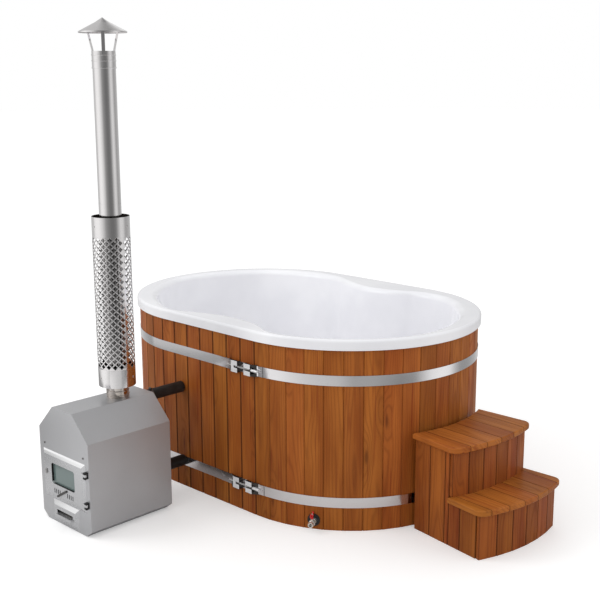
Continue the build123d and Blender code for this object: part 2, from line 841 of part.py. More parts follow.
def hose_clamp(height, y):
    """A worm-drive band round a hose, with its screw housing on top."""
    low, high = y - clamp_band_width / 2, y + clamp_band_width / 2
    band = rod_along_y(hose_x, height, low, high, hose_radius + clamp_band_thickness)
    top = height + hose_radius + clamp_band_thickness + clamp_screw_radius / 2
    screw = rod_along_x(y, top, hose_x - clamp_screw_length / 2, hose_x + clamp_screw_length / 2,
                        clamp_screw_radius)
    return band + screw - rod_along_y(hose_x, height, low - overrun, high + overrun, hose_radius + clamp_fit)


def basin_inner_y(height):
    """Y of the basin's inside face where a hose fitting goes through it."""
    if height < seat_height:
        rise = (seat_height - height) / (seat_height - basin_floor_height)
        return foot_well_draft * rise - foot_well_width / 2
    edges = well_wire(well_inset_at(height), height).edges()
    line = Line((hose_x, wall_y, height), (hose_x, 0, height))
    return min(spot.Y for edge in edges for spot in edge.find_intersection_points(line.edge())) if edges else 0


# Drain valve, in its own frame: X runs out of the tub and Z up the valve's stem

wing_shares = [(0.35, 0.0), (0.75, 0.25), (1.0, 0.46), (1.0, 0.77), (0.6, 1.0), (0.25, 0.58), (0.0, 0.54)]


def make_drain():
    rosette = Location((0, 0, rosette_rise)) * local_rod(0, rosette_thickness, rosette_radius)
    save(drain_place * rosette - drain_hole, "drain_rosette")
    nut_end = rosette_thickness + drain_nut_length
    chamber_start = nut_end + valve_neck_length
    chamber_end = chamber_start + valve_chamber_length
    outlet_start = chamber_end + valve_neck_length / 2
    outlet_end = outlet_start + valve_outlet_length
    ball_x = (chamber_start + chamber_end) / 2
    outside = [
        (rosette_thickness, 0), (rosette_thickness, valve_neck_radius), (chamber_start, valve_neck_radius),
        (chamber_start, valve_chamber_radius - valve_chamber_bevel),
        (chamber_start + valve_chamber_bevel, valve_chamber_radius),
        (chamber_end - valve_chamber_bevel, valve_chamber_radius),
        (chamber_end, valve_chamber_radius - valve_chamber_bevel), (chamber_end, valve_neck_radius),
        (outlet_start, valve_neck_radius), (outlet_start, valve_outlet_radius),
        (outlet_end, valve_outlet_radius), (outlet_end, 0),
    ]
    body = revolve(Plane.XZ * make_face(Polyline(*outside, close=True)), Axis.X)
    hexagon = Plane.YZ * RegularPolygon(drain_nut_radius, 6)
    body = body + Location((rosette_thickness, 0, 0)) * extrude(hexagon, drain_nut_length, dir=(1, 0, 0))
    body = body + post(ball_x, 0, 0, valve_bonnet_height, valve_bonnet_radius)
    hollow = local_rod(rosette_thickness - overrun, outlet_start, valve_ball_bore)
    hollow = hollow + local_rod(outlet_start, outlet_end + overrun, valve_outlet_bore)
    hollow = hollow + post(ball_x, 0, 0, valve_bonnet_height + overrun, valve_stem_radius + valve_stem_fit)
    hollow = hollow + Location((ball_x, 0, 0)) * Sphere(valve_ball_radius + valve_ball_fit)
    save(drain_place * (body - hollow), "drain_valve_body")

    hub_low = valve_bonnet_height + wing_hub_gap
    hub_high = hub_low + wing_hub_height
    ball = Location((ball_x, 0, 0)) * Sphere(valve_ball_radius)
    ball = ball - local_rod(ball_x - valve_chamber_radius, ball_x + valve_chamber_radius, valve_ball_bore)
    ball = ball + post(ball_x, 0, (valve_ball_radius + valve_ball_bore) / 2, hub_high, valve_stem_radius)
    ball = ball + post(ball_x, 0, hub_high, hub_high + wing_nut_height, wing_nut_radius)
    save(drain_place * ball, "drain_valve_ball")

    hub = post(ball_x, 0, hub_low, hub_high, wing_hub_radius)
    wing_low = hub_low + wing_rise / 2
    for side in (-1, 1):
        points = [(ball_x, wing_low)]
        for along_share, up_share in wing_shares:
            points.append((ball_x + side * wing_length * along_share, wing_low + (wing_height + wing_rise) * up_share))
        hub = hub + extrude(Plane.XZ * make_face(Polyline(*points, close=True)), wing_thickness / 2, both=True)
    hub = hub - post(ball_x, 0, hub_low - overrun, hub_high + overrun, valve_stem_radius)
    save(drain_place * hub, "drain_handle")


# Heater shell

def extruded_along_y(points, inset, y_low, y_high):
    """An outline in X and Z, drawn in by inset and pulled along Y."""
    face = make_face(Polyline(*points, close=True))
    if inset:
        face = offset(face, amount=-inset, kind=Kind.INTERSECTION)
    solid = extrude(Plane.XZ * face, y_high - y_low, dir=(0, 1, 0))
    return Location((heater_x, y_low, 0)) * solid


def heater_outline(inset, y_low, y_high):
    """The heater's cross-section with its folded shoulders."""
    half = heater_width / 2
    top = heater_top_width / 2
    foot = half - heater_foot_chamfer_width
    right = [(foot, 0), (half, heater_foot_chamfer_height), (half, heater_shoulder_height), (top, heater_height)]
    left = [(-x, z) for x, z in reversed(right)]
    return extruded_along_y(right + left, inset, y_low, y_high)


def firebox_outline(inset, y_low, y_high):
    """The fire chamber above the grate."""
    half = firebox_width / 2
    right = [(half, firebox_floor), (half, firebox_top - firebox_shoulder), (half - firebox_shoulder, firebox_top)]
    left = [(-x, z) for x, z in reversed(right)]
    return extruded_along_y(right + left, inset, y_low, y_high)


grate_y_low = heater_front_y + grate_front_space
grate_y_high = grate_y_low + grate_length


def make_heater():
    casing = heater_outline(0, heater_front_y, heater_back_y)
    casing = casing - heater_outline(heater_sheet, heater_front_y - overrun, heater_back_y + overrun)
    flue_hole = post(flue_x, flue_y, firebox_top - overrun, heater_height + overrun, flue_inner_radius)
    save(casing - flue_hole, "heater_casing")

    front = heater_outline(heater_sheet, heater_front_y, heater_inside_y)
    front = front - block(heater_x - front_opening_width / 2, heater_x + front_opening_width / 2,
                          heater_front_y - overrun, heater_inside_y + overrun, front_opening_low,
                          front_opening_high)
    tunnel_half = ash_tunnel_width / 2
    front = front - block(heater_x - tunnel_half, heater_x + tunnel_half, heater_front_y - overrun,
                          heater_inside_y + overrun, ash_tunnel_floor, ash_tunnel_top)
    save(front, "heater_front_plate")

    back = heater_outline(heater_sheet, heater_back_y - heater_sheet, heater_back_y)
    for height in hose_heights:
        back = back + rod_along_y(hose_x, height, heater_back_y - heater_sheet,
                                  heater_back_y + heater_spigot_length, spigot_radius)
        back = back - rod_along_y(hose_x, height, heater_back_y - overrun,
                                  heater_back_y + heater_spigot_length + overrun, spigot_radius - spigot_wall)
    save(back, "heater_back_plate")

    fire_back = heater_back_y - heater_sheet - firebox_back_space
    firebox = firebox_outline(-heater_sheet, heater_inside_y, fire_back + heater_sheet)
    firebox = firebox + block(heater_x - tunnel_half - heater_sheet, heater_x + tunnel_half + heater_sheet,
                              heater_inside_y, fire_back + heater_sheet, ash_tunnel_floor - heater_sheet,
                              firebox_floor)
    riser_radius = flue_inner_radius - collar_fit
    firebox = firebox + post(flue_x, flue_y, firebox_top, heater_height, riser_radius)
    firebox = firebox - firebox_outline(0, heater_inside_y - overrun, fire_back)
    firebox = firebox - block(heater_x - tunnel_half, heater_x + tunnel_half, heater_inside_y - overrun, fire_back,
                              ash_tunnel_floor, ash_tunnel_top)
    throat_half = grate_width / 2 - grate_ledge
    firebox = firebox - block(heater_x - throat_half, heater_x + throat_half, grate_y_low + grate_ledge,
                              grate_y_high - grate_ledge, ash_tunnel_top - overrun, firebox_floor + overrun)
    firebox = firebox - post(flue_x, flue_y, firebox_top - overrun, heater_height + overrun,
                             riser_radius - flue_wall)
    save(firebox, "firebox")

    grate = block(heater_x - grate_width / 2, heater_x + grate_width / 2, grate_y_low, grate_y_high,
                  firebox_floor, firebox_floor + grate_thickness)
    pitch = (grate_width - grate_bar_width) / (grate_bar_count - 1)
    for number in range(grate_bar_count - 1):
        x = heater_x - grate_width / 2 + grate_bar_width + number * pitch
        grate = grate - block(x, x + pitch - grate_bar_width, grate_y_low + grate_ledge,
                              grate_y_high - grate_ledge, firebox_floor - overrun,
                              firebox_floor + grate_thickness + overrun)
    save(grate, "fire_grate")

    screws = []
    for side in (-1, 1):
        x = heater_x + side * plate_screw_spread
        screws.append(rod_along_y(x, plate_screw_z, heater_front_y - plate_screw_height, heater_front_y,
                                  plate_screw_radius))
    group(screws, "front_plate_screws")


# Door and drawer faces share one pressed shape: a slab with bevelled edges

def bevelled_face(half_width, z_low, z_high, bevel, thickness):
    """A plate on the heater's front whose four edges slope in towards its front."""
    height = z_high - z_low
    middle = (z_low + z_high) / 2
    wide = Plane(origin=(heater_x, heater_front_y, middle), x_dir=(1, 0, 0), z_dir=(0, -1, 0))
    near = Plane(origin=(heater_x, heater_front_y - thickness, middle), x_dir=(1, 0, 0), z_dir=(0, -1, 0))
    return loft([wide * Rectangle(2 * half_width, height),
                 near * Rectangle(2 * half_width - 2 * bevel, height - 2 * bevel)], ruled=True)


def upright_window(width, z_low, z_high, corner, y_low, y_high):
    face = Plane.XZ * RectangleRounded(width, z_high - z_low, corner)
    return Location((heater_x, y_low, (z_low + z_high) / 2)) * extrude(face, y_high - y_low, dir=(0, 1, 0))


lever_x = heater_x + lever_x_shift
latch_x = heater_x + latch_x_shift
hinge_y = heater_front_y - hinge_out
hinge_heights = (upper_hinge_height, lower_hinge_height)
slide_front_y = heater_front_y + air_slide_gap
slide_back_y = slide_front_y + air_slide_thickness
slide_low = vent_centre_height - vent_height / 2 - air_slide_margin
slide_high = vent_centre_height + vent_height / 2 + air_slide_margin
vent_group_half = vent_pitch * (vent_count - 1) / 2 + vent_width / 2


def vent_places():
    """Middle of each vent slot across the door."""
    places = []
    for side in (-1, 1):
        for number in range(vent_count):
            places.append(heater_x + side * vent_offset + (number - (vent_count - 1) / 2) * vent_pitch)
    return places


def make_door():
    slab = bevelled_face(door_width / 2, door_low, door_high, door_bevel, door_thickness)
    leaves = []
    for height in hinge_heights:
        leaves.append(hinge_leaf(slab, height))
    slab = slab - upright_window(window_width, window_low, window_high, window_corner,
                                 door_front_y - overrun, heater_front_y + overrun)
    vent_low = vent_centre_height - vent_height / 2
    vent_high = vent_centre_height + vent_height / 2
    for x in vent_places():
        slab = slab - block(x - vent_width / 2, x + vent_width / 2, door_front_y - overrun,
                            heater_front_y + overrun, vent_low, vent_high)
    slab = slab - rod_along_y(lever_x, vent_centre_height, door_front_y - overrun, heater_front_y + overrun,
                              lever_pivot_radius + lever_pivot_fit)
    slab = slab - rod_along_y(latch_x, latch_height, door_front_y - overrun, heater_front_y + overrun,
                              latch_spindle_radius + latch_fit)
    save(slab, "door_panel")
    group(leaves, "door_hinge_leaves")

    glass_low = window_low - glass_lap
    glass_high = window_high + glass_lap
    glass = upright_window(window_width + 2 * glass_lap, glass_low, glass_high, window_corner,
                           heater_front_y, heater_front_y + glass_thickness)
    save(glass, "door_glass")
    frame_inner = window_width - 2 * glass_frame_inner_lap
    frame_front = heater_front_y + glass_thickness
    frame = upright_window(window_width + 2 * glass_frame_width, window_low - glass_frame_width,
                           window_high + glass_frame_width, window_corner, heater_front_y,
                           frame_front + glass_frame_thickness)
    pocket = upright_window(window_width + 2 * glass_lap + 2 * touch_gap, glass_low - touch_gap,
                            glass_high + touch_gap, window_corner, heater_front_y - overrun, frame_front)
    sight = upright_window(frame_inner, window_low + glass_frame_inner_lap, window_high - glass_frame_inner_lap,
                           window_corner, heater_front_y - overrun, frame_front + glass_frame_thickness + overrun)
    save(frame - pocket - sight, "door_glass_frame")

    rails = []
    rail_half = vent_offset + vent_group_half + air_slide_margin + air_slide_travel
    rail_back = slide_back_y + air_slide_gap + air_rail_thickness
    for edge, side in ((slide_high, 1), (slide_low, -1)):
        near_edge = edge + side * air_slide_gap
        far_edge = near_edge + side * air_rail_height
        low, high = min(near_edge, far_edge), max(near_edge, far_edge)
        rail = block(heater_x - rail_half, heater_x + rail_half, heater_front_y, rail_back, low, high)
        lip_edge = edge - side * air_rail_hook
        lip_low, lip_high = min(lip_edge, near_edge), max(lip_edge, near_edge)
        rail = rail + block(heater_x - rail_half, heater_x + rail_half, slide_back_y + air_slide_gap, rail_back,
                            lip_low, lip_high)
        rails.append(rail)
    group(rails, "air_slide_rails")

    slide_half = vent_offset + vent_group_half + air_slide_margin
    slide = block(heater_x - slide_half, heater_x + slide_half, slide_front_y, slide_back_y, slide_low, slide_high)
    for x in vent_places():
        slide = slide - block(x - vent_width / 2, x + vent_width / 2, slide_front_y - overrun,
                              slide_back_y + overrun, vent_low, vent_high)
    crank = air_slide_travel / 2 / sin(radians(lever_tilt))
    pin_x = lever_x + air_slide_travel / 2
    pin_z = vent_centre_height - crank * cos(radians(lever_tilt))
    pin_slot = crank_pin_radius + crank_slot_slack
    slide = slide - block(pin_x - pin_slot, pin_x + pin_slot, slide_front_y - overrun, slide_back_y + overrun,
                          vent_centre_height - crank - pin_slot, vent_centre_height)
    spindle_slot = lever_pivot_radius + crank_slot_slack
    slide = slide - block(lever_x - spindle_slot, lever_x + spindle_slot + air_slide_travel,
                          slide_front_y - overrun, slide_back_y + overrun,
                          vent_centre_height - spindle_slot, vent_centre_height + spindle_slot)
    save(slide, "air_slide")

    lever_front = door_front_y - lever_gap - lever_thickness
    bar = extrude(Plane.XZ * SlotOverall(lever_length, lever_width), lever_thickness, dir=(0, 1, 0))
    lever = Location((lever_x, lever_front, vent_centre_height), (0, -lever_tilt, 0)) * bar
    web_front = slide_back_y + air_slide_gap
    web_back = web_front + crank_web_thickness
    lever = lever + rod_along_y(lever_x, vent_centre_height, lever_front, web_back, lever_pivot_radius)
    web = extrude(Plane.XZ * SlotCenterToCenter(crank, 2 * lever_pivot_radius), crank_web_thickness, dir=(0, 1, 0))
    web_turn = degrees(atan2(vent_centre_height - pin_z, pin_x - lever_x))
    lever = lever + Location(((lever_x + pin_x) / 2, web_front, (vent_centre_height + pin_z) / 2),
                             (0, web_turn, 0)) * web
    lever = lever + rod_along_y(pin_x, pin_z, slide_front_y, web_back, crank_pin_radius)
    save(lever, "air_lever")


def hinge_leaf(slab, height):
    """A plate on the door's bevel with a tongue that reaches the hinge pin."""
    leaf_middle = height - leaf_drop
    slope = Plane(
        origin=(heater_x + door_width / 2 - door_bevel / 2, heater_front_y - door_thickness / 2, leaf_middle),
        x_dir=(0, 0, 1), z_dir=(door_thickness, -door_bevel, 0),
    )
    bevel_width = hypot(door_bevel, door_thickness)
    leaf = extrude(slope * Rectangle(leaf_height, bevel_width), leaf_thickness)
    tongue_low = height - hinge_tongue_height / 2
    tongue_high = height + hinge_tongue_height / 2
    tongue = block(heater_x + door_width / 2 - door_bevel, hinge_x, hinge_y - leaf_thickness,
                   hinge_y + leaf_thickness, tongue_low, tongue_high)
    eye = post(hinge_x, hinge_y, tongue_low, tongue_high, leaf_eye_radius)
    bore = post(hinge_x, hinge_y, tongue_low - overrun, tongue_high + overrun, hinge_pin_radius + hinge_fit)
    return leaf + tongue + eye - bore - slab


def make_hinge_blocks():
    blocks, pins = [], []
    for height in hinge_heights:
        low = height - hinge_block_height / 2
        high = height + hinge_block_height / 2
        body = block(hinge_x - hinge_block_half, hinge_x + hinge_block_half, hinge_y - hinge_block_half,
                     heater_front_y, low, high)
        body = body - block(hinge_x - hinge_block_half - overrun, hinge_x + hinge_block_half + overrun,
                            hinge_y - hinge_block_half - overrun, heater_front_y - hinge_block_wall,
                            height - hinge_slot_height / 2, height + hinge_slot_height / 2)
        body = body - post(hinge_x, hinge_y, low - overrun, high + overrun, hinge_pin_radius + hinge_fit)
        blocks.append(body)
        pins.append(post(hinge_x, hinge_y, low, high, hinge_pin_radius))
    group(blocks, "hinge_blocks")
    group(pins, "hinge_pins")


def make_latch():
    knob_front = door_front_y - latch_knob_rise
    knob = extrude(Plane.XZ * SlotOverall(latch_knob_height, latch_knob_width), latch_knob_rise - lever_gap,
                   dir=(0, 1, 0))
    latch = Location((latch_x, knob_front, latch_height), (0, 90, 0)) * knob
    tongue_front = heater_inside_y + latch_clearance
    tongue_back = tongue_front + latch_tongue_thickness
    latch = latch + rod_along_y(latch_x, latch_height, knob_front, tongue_back, latch_spindle_radius)
    latch = latch + block(latch_x - latch_tongue_width / 2, latch_x + latch_tongue_width / 2, tongue_front,
                          tongue_back, latch_height - latch_tongue_width / 2, latch_height + latch_tongue_length)
    save(latch, "door_latch")


def make_drawer():
    face = bevelled_face(drawer_face_width / 2, drawer_face_low, drawer_face_high, drawer_bevel,
                         drawer_face_thickness)
    face_front = heater_front_y - drawer_face_thickness
    pull_low = drawer_pull_z - drawer_pull_height / 2
    pull_high = drawer_pull_z + drawer_pull_height / 2
    face = face - block(heater_x - drawer_pull_width / 2, heater_x + drawer_pull_width / 2,
                        face_front - overrun, heater_front_y + overrun, pull_low, pull_high)
    grip_half = drawer_pull_width / 2
    grip_out = face_front - drawer_grip_depth
    grip = block(heater_x - grip_half, heater_x + grip_half, grip_out, face_front, pull_low - drawer_grip_thickness,
                 pull_low)
    grip = grip + block(heater_x - grip_half, heater_x + grip_half, grip_out, grip_out + drawer_grip_thickness,
                        pull_low - drawer_grip_drop, pull_low)
    save(face + grip, "drawer_face")
    tray_half = drawer_tray_width / 2
    tray_low = ash_tunnel_floor + drawer_run_gap
    tray = block(heater_x - tray_half, heater_x + tray_half, heater_front_y, heater_front_y + drawer_tray_length,
                 tray_low, tray_low + drawer_tray_height)
    inner = block(heater_x - tray_half + drawer_tray_sheet, heater_x + tray_half - drawer_tray_sheet,
                  heater_front_y + drawer_tray_sheet, heater_front_y + drawer_tray_length - drawer_tray_sheet,
                  tray_low + drawer_tray_sheet, tray_low + drawer_tray_height + overrun)
    save(tray - inner, "ash_tray")


# Chimney

def ring(z_low, z_high, outer, inner, x=flue_x, y=flue_y):
    return post(x, y, z_low, z_high, outer) - post(x, y, z_low - overrun, z_high + overrun, inner)


def turned(points):
    """A body turned about the chimney's axis from (radius, height) points."""
    face = Plane.XZ * make_face(Polyline(*points, close=True))
    return Location((flue_x, flue_y, 0)) * revolve(face, Axis.Z)


def make_chimney():
    collar_top = heater_height + collar_height
    collar = ring(heater_height, collar_top, flue_radius + collar_fit + collar_wall, flue_radius + collar_fit)
    for share in collar_bead_shares:
        top = heater_height + collar_height * share
        collar = collar + ring(top - collar_bead_height, top, flue_radius + collar_fit + collar_wall + collar_bead,
                               flue_radius + collar_fit)
    save(collar, "flue_collar")
    narrow = flue_inner_radius - collar_fit
    save(ring(heater_height, flue_joint_height, flue_radius, flue_inner_radius), "lower_flue_pipe")
    upper = ring(flue_joint_height, cap_sleeve_low + flue_lap, flue_radius, flue_inner_radius)
    upper = upper + ring(flue_joint_height - flue_lap, flue_joint_height, narrow, narrow - flue_wall)
    upper = upper + ring(flue_joint_height, flue_joint_height + flue_seam_height, flue_inner_radius,
                         narrow - flue_wall)
    save(upper, "upper_flue_pipe")

    sleeve_inner = flue_radius + collar_fit
    sleeve_outer = sleeve_inner + cap_sleeve_wall
    sleeve = ring(cap_sleeve_low, cap_sleeve_high, sleeve_outer, sleeve_inner)
    height = cap_sleeve_high - cap_sleeve_low
    for share in cap_bead_shares:
        low = cap_sleeve_low + height * share
        sleeve = sleeve + ring(low, low + cap_bead_height, sleeve_outer + cap_bead, sleeve_inner)
    save(sleeve, "cap_sleeve")

    lip_top = cap_rim_height + cap_lip_height
    outside = [(cap_rim_radius, cap_rim_height), (cap_rim_radius, lip_top), (cap_step_radius, cap_step_height),
               (cap_step_radius - cap_step_width, cap_step_height + cap_sheet), (0, cap_apex_height)]
    inside = [(0, cap_apex_height - cap_sheet), (cap_step_radius - cap_step_width, cap_step_height - cap_sheet),
              (cap_rim_radius - cap_sheet, lip_top - cap_sheet), (cap_rim_radius - cap_sheet, cap_rim_height)]
    cap = turned(outside + inside)
    save(cap, "rain_cap")

    struts = []
    slope = (cap_step_height - lip_top) / (cap_rim_radius - cap_step_radius)
    strut_top = lip_top + (cap_rim_radius - cap_strut_top_radius) * slope - cap_strut_sink
    foot_low = cap_sleeve_low + height * cap_bead_shares[-1] + cap_bead_height
    for number in range(cap_strut_count):
        turn = cap_strut_turn + number * 360 / cap_strut_count
        inner_points = [(sleeve_outer, foot_low), (sleeve_outer, cap_sleeve_high),
                        (cap_strut_top_radius, strut_top)]
        outer_points = [(cap_strut_top_radius + cap_strut_thickness, strut_top),
                        (sleeve_outer + cap_strut_thickness, cap_sleeve_high - cap_strut_thickness),
                        (sleeve_outer + cap_strut_thickness, foot_low)]
        face = Plane.XZ * make_face(Polyline(*(inner_points + outer_points), close=True))
        strut = extrude(face, cap_strut_width / 2, both=True)
        strut = strut - post(0, 0, foot_low - overrun, cap_sleeve_high + overrun, sleeve_outer)
        struts.append(Location((flue_x, flue_y, 0), (0, 0, turn)) * strut - cap)
    group(struts, "cap_struts")


def make_guard():
    guard = ring(guard_low, guard_high, guard_radius, guard_radius - guard_wall)
    hole_span = guard_high - guard_low - 2 * guard_band
    row_pitch = hole_span / guard_hole_rows
    column_turn = 360 / guard_hole_columns
    diamond = Box(2 * (guard_wall + overrun), guard_hole_size, guard_hole_size)
    diamond = Location((guard_radius, 0, 0), (45, 0, 0)) * diamond
    cutters = []
    for row in range(2 * guard_hole_rows - 1):
        z = guard_low + guard_band + row_pitch * (row + 1) / 2
        shift = column_turn / 2 * (row % 2)
        for column in range(guard_hole_columns):
            place = Location((flue_x, flue_y, z), (0, 0, column * column_turn + shift))
            cutters.append(place * diamond)
    guard = guard.cut(*cutters)
    save(guard, "heat_guard")
    fixings = []
    for z in (guard_low + guard_band / 2, guard_high - guard_band / 2):
        for number in range(guard_spacer_count):
            turn = guard_spacer_turn + number * 360 / guard_spacer_count
            place = Location((flue_x, flue_y, z), (0, 0, turn))
            arm = local_rod(flue_radius - flue_wall, guard_radius, guard_spacer_radius)
            inner = post(0, 0, -guard_band, guard_band, flue_radius)
            skin = post(0, 0, -guard_band, guard_band, guard_radius - guard_wall)
            fixings.append(place * ((arm & skin) - inner))
            outer = post(0, 0, -guard_band, guard_band, guard_radius)
            head = local_rod(flue_radius, guard_radius + guard_screw_rise, guard_spacer_radius) - outer
            fixings.append(place * head)
    group(fixings, "guard_fixings")


# Steps, drawn on a straight axis and then turned into place beside the tub

step_place = Location((end_centre, step_axis_y, 0), (0, 0, step_turn))
tan_splay = sin(radians(step_splay)) / cos(radians(step_splay))
upper_board_reach = upper_front_reach - tread_front_overhang
lower_board_reach = lower_front_reach - tread_front_overhang
back_reach = step_back_radius


def step_half_width(reach):
    """Half width of the carcass at a distance along the steps' axis from the tub end's centre."""
    return step_half_width_at_back + (reach - back_reach) * tan_splay


def front_spot(reach, radius, across):
    """Point on a front arc whose middle is at reach."""
    centre = reach - radius
    return (centre + sqrt(radius * radius - across * across), across)


def to_local(reach):
    """Distances were measured from the tub's centre; the steps' axis starts at the end's centre."""
    return reach - end_centre


def back_cut(z_low, z_high):
    """Room for the tub's round end."""
    centre = step_place.inverse() * Location((end_centre, 0, 0))
    spot = centre.position
    return post(spot.X, spot.Y, z_low - overrun, z_high + overrun, step_back_radius)


def tread(front_reach, front_radius, top, back_reach_here, rounded_back):
    """Planks that run from the tub outwards, cut to one rounded outline."""
    front = to_local(front_reach)
    low = top - tread_thickness
    half_back = step_half_width(back_reach_here) + tread_side_overhang
    corner_reach = front
    for _ in range(corner_passes):
        half_front = step_half_width(corner_reach) + tread_side_overhang
        corner_reach = front_spot(front, front_radius, half_front)[0]
    arc_middle = (front, 0)
    corner = (corner_reach, half_front)
    mirror_corner = (corner_reach, -half_front)
    outline = [
        Line((back_reach_here, -half_back), mirror_corner),
        ThreePointArc(mirror_corner, arc_middle, corner),
        Line(corner, (back_reach_here, half_back)),
        Line((back_reach_here, half_back), (back_reach_here, -half_back)),
    ]
    board = Location((0, 0, low)) * extrude(make_face(Wire(outline)), tread_thickness, dir=(0, 0, 1))
    corners = board.edges().filter_by(Axis.Z).group_by(Axis.X)[-1]
    board = fillet(corners, tread_corner_radius)
    if rounded_back:
        board = board - back_cut(low, top)
    planks = []
    count = int(2 * half_front / tread_plank_width) + 1
    for number in range(count):
        y_low = (number - count / 2) * tread_plank_width
        lane = block(0, front + overrun, y_low + tread_plank_gap / 2, y_low + tread_plank_width - tread_plank_gap / 2,
                     low - overrun, top + overrun)
        planks.append(board & lane)
    return planks


def riser_boards(front_reach, front_radius, count, z_low, z_high):
    """Upright boards along a curved front."""
    front = to_local(front_reach)
    half = step_half_width(front)
    for _ in range(corner_passes):
        half = step_half_width(front_spot(front, front_radius, half)[0])
    centre = (front - front_radius, 0)
    boards = []
    for number in range(count):
        spots = [front_spot(front, front_radius, half * (2 * step / count - 1)) for step in (number, number + 1)]
        boards.append(board_on(spots[0], spots[1], centre, centre, step_board_thickness, step_board_bevel,
                               z_low, z_high))
    corner = front_spot(front, front_radius, half)[0]
    return boards, corner - step_board_thickness


def side_boards(start, finish, z_low, z_high):
    """Upright boards along the near side, from start to finish along the steps' axis."""
    stops = [side_seam_reach + step_board_width * number for number in range(side_seam_count)]
    inside = [one for one in stops if start + narrowest_step_board < one < finish - narrowest_step_board]
    stops = [start] + inside + [finish]
    boards = []
    for x_a, x_b in zip(stops, stops[1:]):
        outer_a, outer_b = (x_a, -step_half_width(x_a)), (x_b, -step_half_width(x_b))
        boards.append(board_on(outer_a, outer_b, (x_a, 0), (x_b, 0), step_board_thickness, step_board_bevel,
                               z_low, z_high))
    return boards


def side_strip(start, finish, near, far, z_low, z_high):
    """A strip along the near side between two depths behind the outer face."""
    slant = cos(radians(step_splay))
    points = [(start, -step_half_width(start) + near / slant), (finish, -step_half_width(finish) + near / slant),
              (finish, -step_half_width(finish) + far / slant), (start, -step_half_width(start) + far / slant)]
    return plate(points, z_low, z_high)


def mirrored(shape):
    return shape.mirror(Plane.XZ)


def make_steps():
    under_upper = upper_tread_height - tread_thickness
    under_lower = lower_tread_height - tread_thickness
    upper_boards, upper_corner = riser_boards(upper_board_reach, upper_front_radius, upper_riser_count,
                                              lower_tread_height, under_upper)
    lower_boards, lower_corner = riser_boards(lower_board_reach, lower_front_radius, lower_riser_count,
                                              0, under_lower)
    back = back_cut(0, upper_tread_height)
    start = back_reach - step_back_overlap
    tall = side_boards(start, upper_corner, 0, under_upper)
    short = side_boards(upper_corner, lower_corner, 0, under_lower)
    sides = [piece - back for board in tall for piece in (board, mirrored(board))]
    sides += [piece for board in short for piece in (board, mirrored(board))]

    riser_centre = to_local(upper_board_reach) - upper_front_radius
    riser_space = post(riser_centre, 0, under_lower - overrun, lower_tread_height + overrun,
                       upper_front_radius - step_board_thickness / 2)
    upper_planks = tread(upper_front_reach, upper_front_radius, upper_tread_height, start, True)
    lower_planks = [plank - riser_space for plank in tread(lower_front_reach, lower_front_radius,
                                                          lower_tread_height, upper_corner - overrun, False)]
    battens = []
    for low, corner in ((under_lower - batten_width, lower_corner), (under_upper - batten_width, upper_corner)):
        rail = side_strip(start, corner - step_board_thickness, step_board_thickness,
                          step_board_thickness + batten_thickness, low, low + batten_width)
        battens += [rail - back, mirrored(rail) - back]
    for name, pieces in (("upper_tread_planks", upper_planks), ("lower_tread_planks", lower_planks),
                         ("upper_riser_boards", upper_boards), ("lower_riser_boards", lower_boards),
                         ("step_side_boards", sides), ("step_battens", battens)):
        group([step_place * piece for piece in pieces], name)


make_staves()
well = basin_cavity()
make_basin(well)
make_frame(make_waste())
make_hoops()
make_clasps()
make_water_side(well)
make_drain()
make_heater()
make_door()
make_hinge_blocks()
make_latch()
make_drawer()
make_chimney()
make_guard()
make_steps()
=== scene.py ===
import math
import bmesh
import bpy
from mathutils import Matrix, Vector


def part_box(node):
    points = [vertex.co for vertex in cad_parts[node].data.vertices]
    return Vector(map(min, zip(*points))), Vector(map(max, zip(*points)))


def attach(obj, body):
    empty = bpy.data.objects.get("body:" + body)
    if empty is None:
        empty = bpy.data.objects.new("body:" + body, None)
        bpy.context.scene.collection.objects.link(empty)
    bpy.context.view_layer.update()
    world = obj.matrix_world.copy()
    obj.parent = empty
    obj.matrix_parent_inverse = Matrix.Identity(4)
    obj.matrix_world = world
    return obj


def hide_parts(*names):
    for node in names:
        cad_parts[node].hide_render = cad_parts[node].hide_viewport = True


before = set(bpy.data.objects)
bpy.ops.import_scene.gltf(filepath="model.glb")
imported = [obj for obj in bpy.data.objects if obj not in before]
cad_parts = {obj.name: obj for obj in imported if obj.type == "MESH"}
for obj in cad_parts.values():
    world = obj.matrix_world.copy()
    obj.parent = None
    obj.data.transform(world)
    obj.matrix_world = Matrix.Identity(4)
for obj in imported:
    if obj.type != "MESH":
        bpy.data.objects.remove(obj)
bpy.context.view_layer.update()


# Staves: 58 upright softwood boards, oiled a warm orange brown, planed flat with a small chamfer on each
# long edge. They stand side by side round the basin, and the two hoops pull them tight without glue.

class Field:
    """A value that changes over a surface, written with ordinary arithmetic."""

    def __init__(self, finish, socket):
        self.finish = finish
        self.socket = socket

    def _with(self, operation, *values):
        return self.finish.node("Math", {"operation": operation}, dict(enumerate(values)))

    def __add__(self, other):
        return self._with("ADD", self, other)

    def __sub__(self, other):
        return self._with("SUBTRACT", self, other)

    def __rsub__(self, other):
        return self._with("SUBTRACT", other, self)

    def __mul__(self, other):
        return self._with("MULTIPLY", self, other)

    def __pow__(self, other):
        return self._with("POWER", self, other)

    __radd__ = __add__
    __rmul__ = __mul__

    def sine(self):
        return self._with("SINE", self)

    def root(self):
        return self._with("SQRT", self)

    def swing(self, reach):
        """The value about its middle of 0.5, times reach."""
        return (self - 0.5) * reach

    def between(self, low, high):
        """0 below low, 1 above high and a smooth step from one to the other."""
        return self.finish.node("MapRange", {"interpolation_type": "SMOOTHSTEP"},
                                {"Value": self, "From Min": low, "From Max": high})


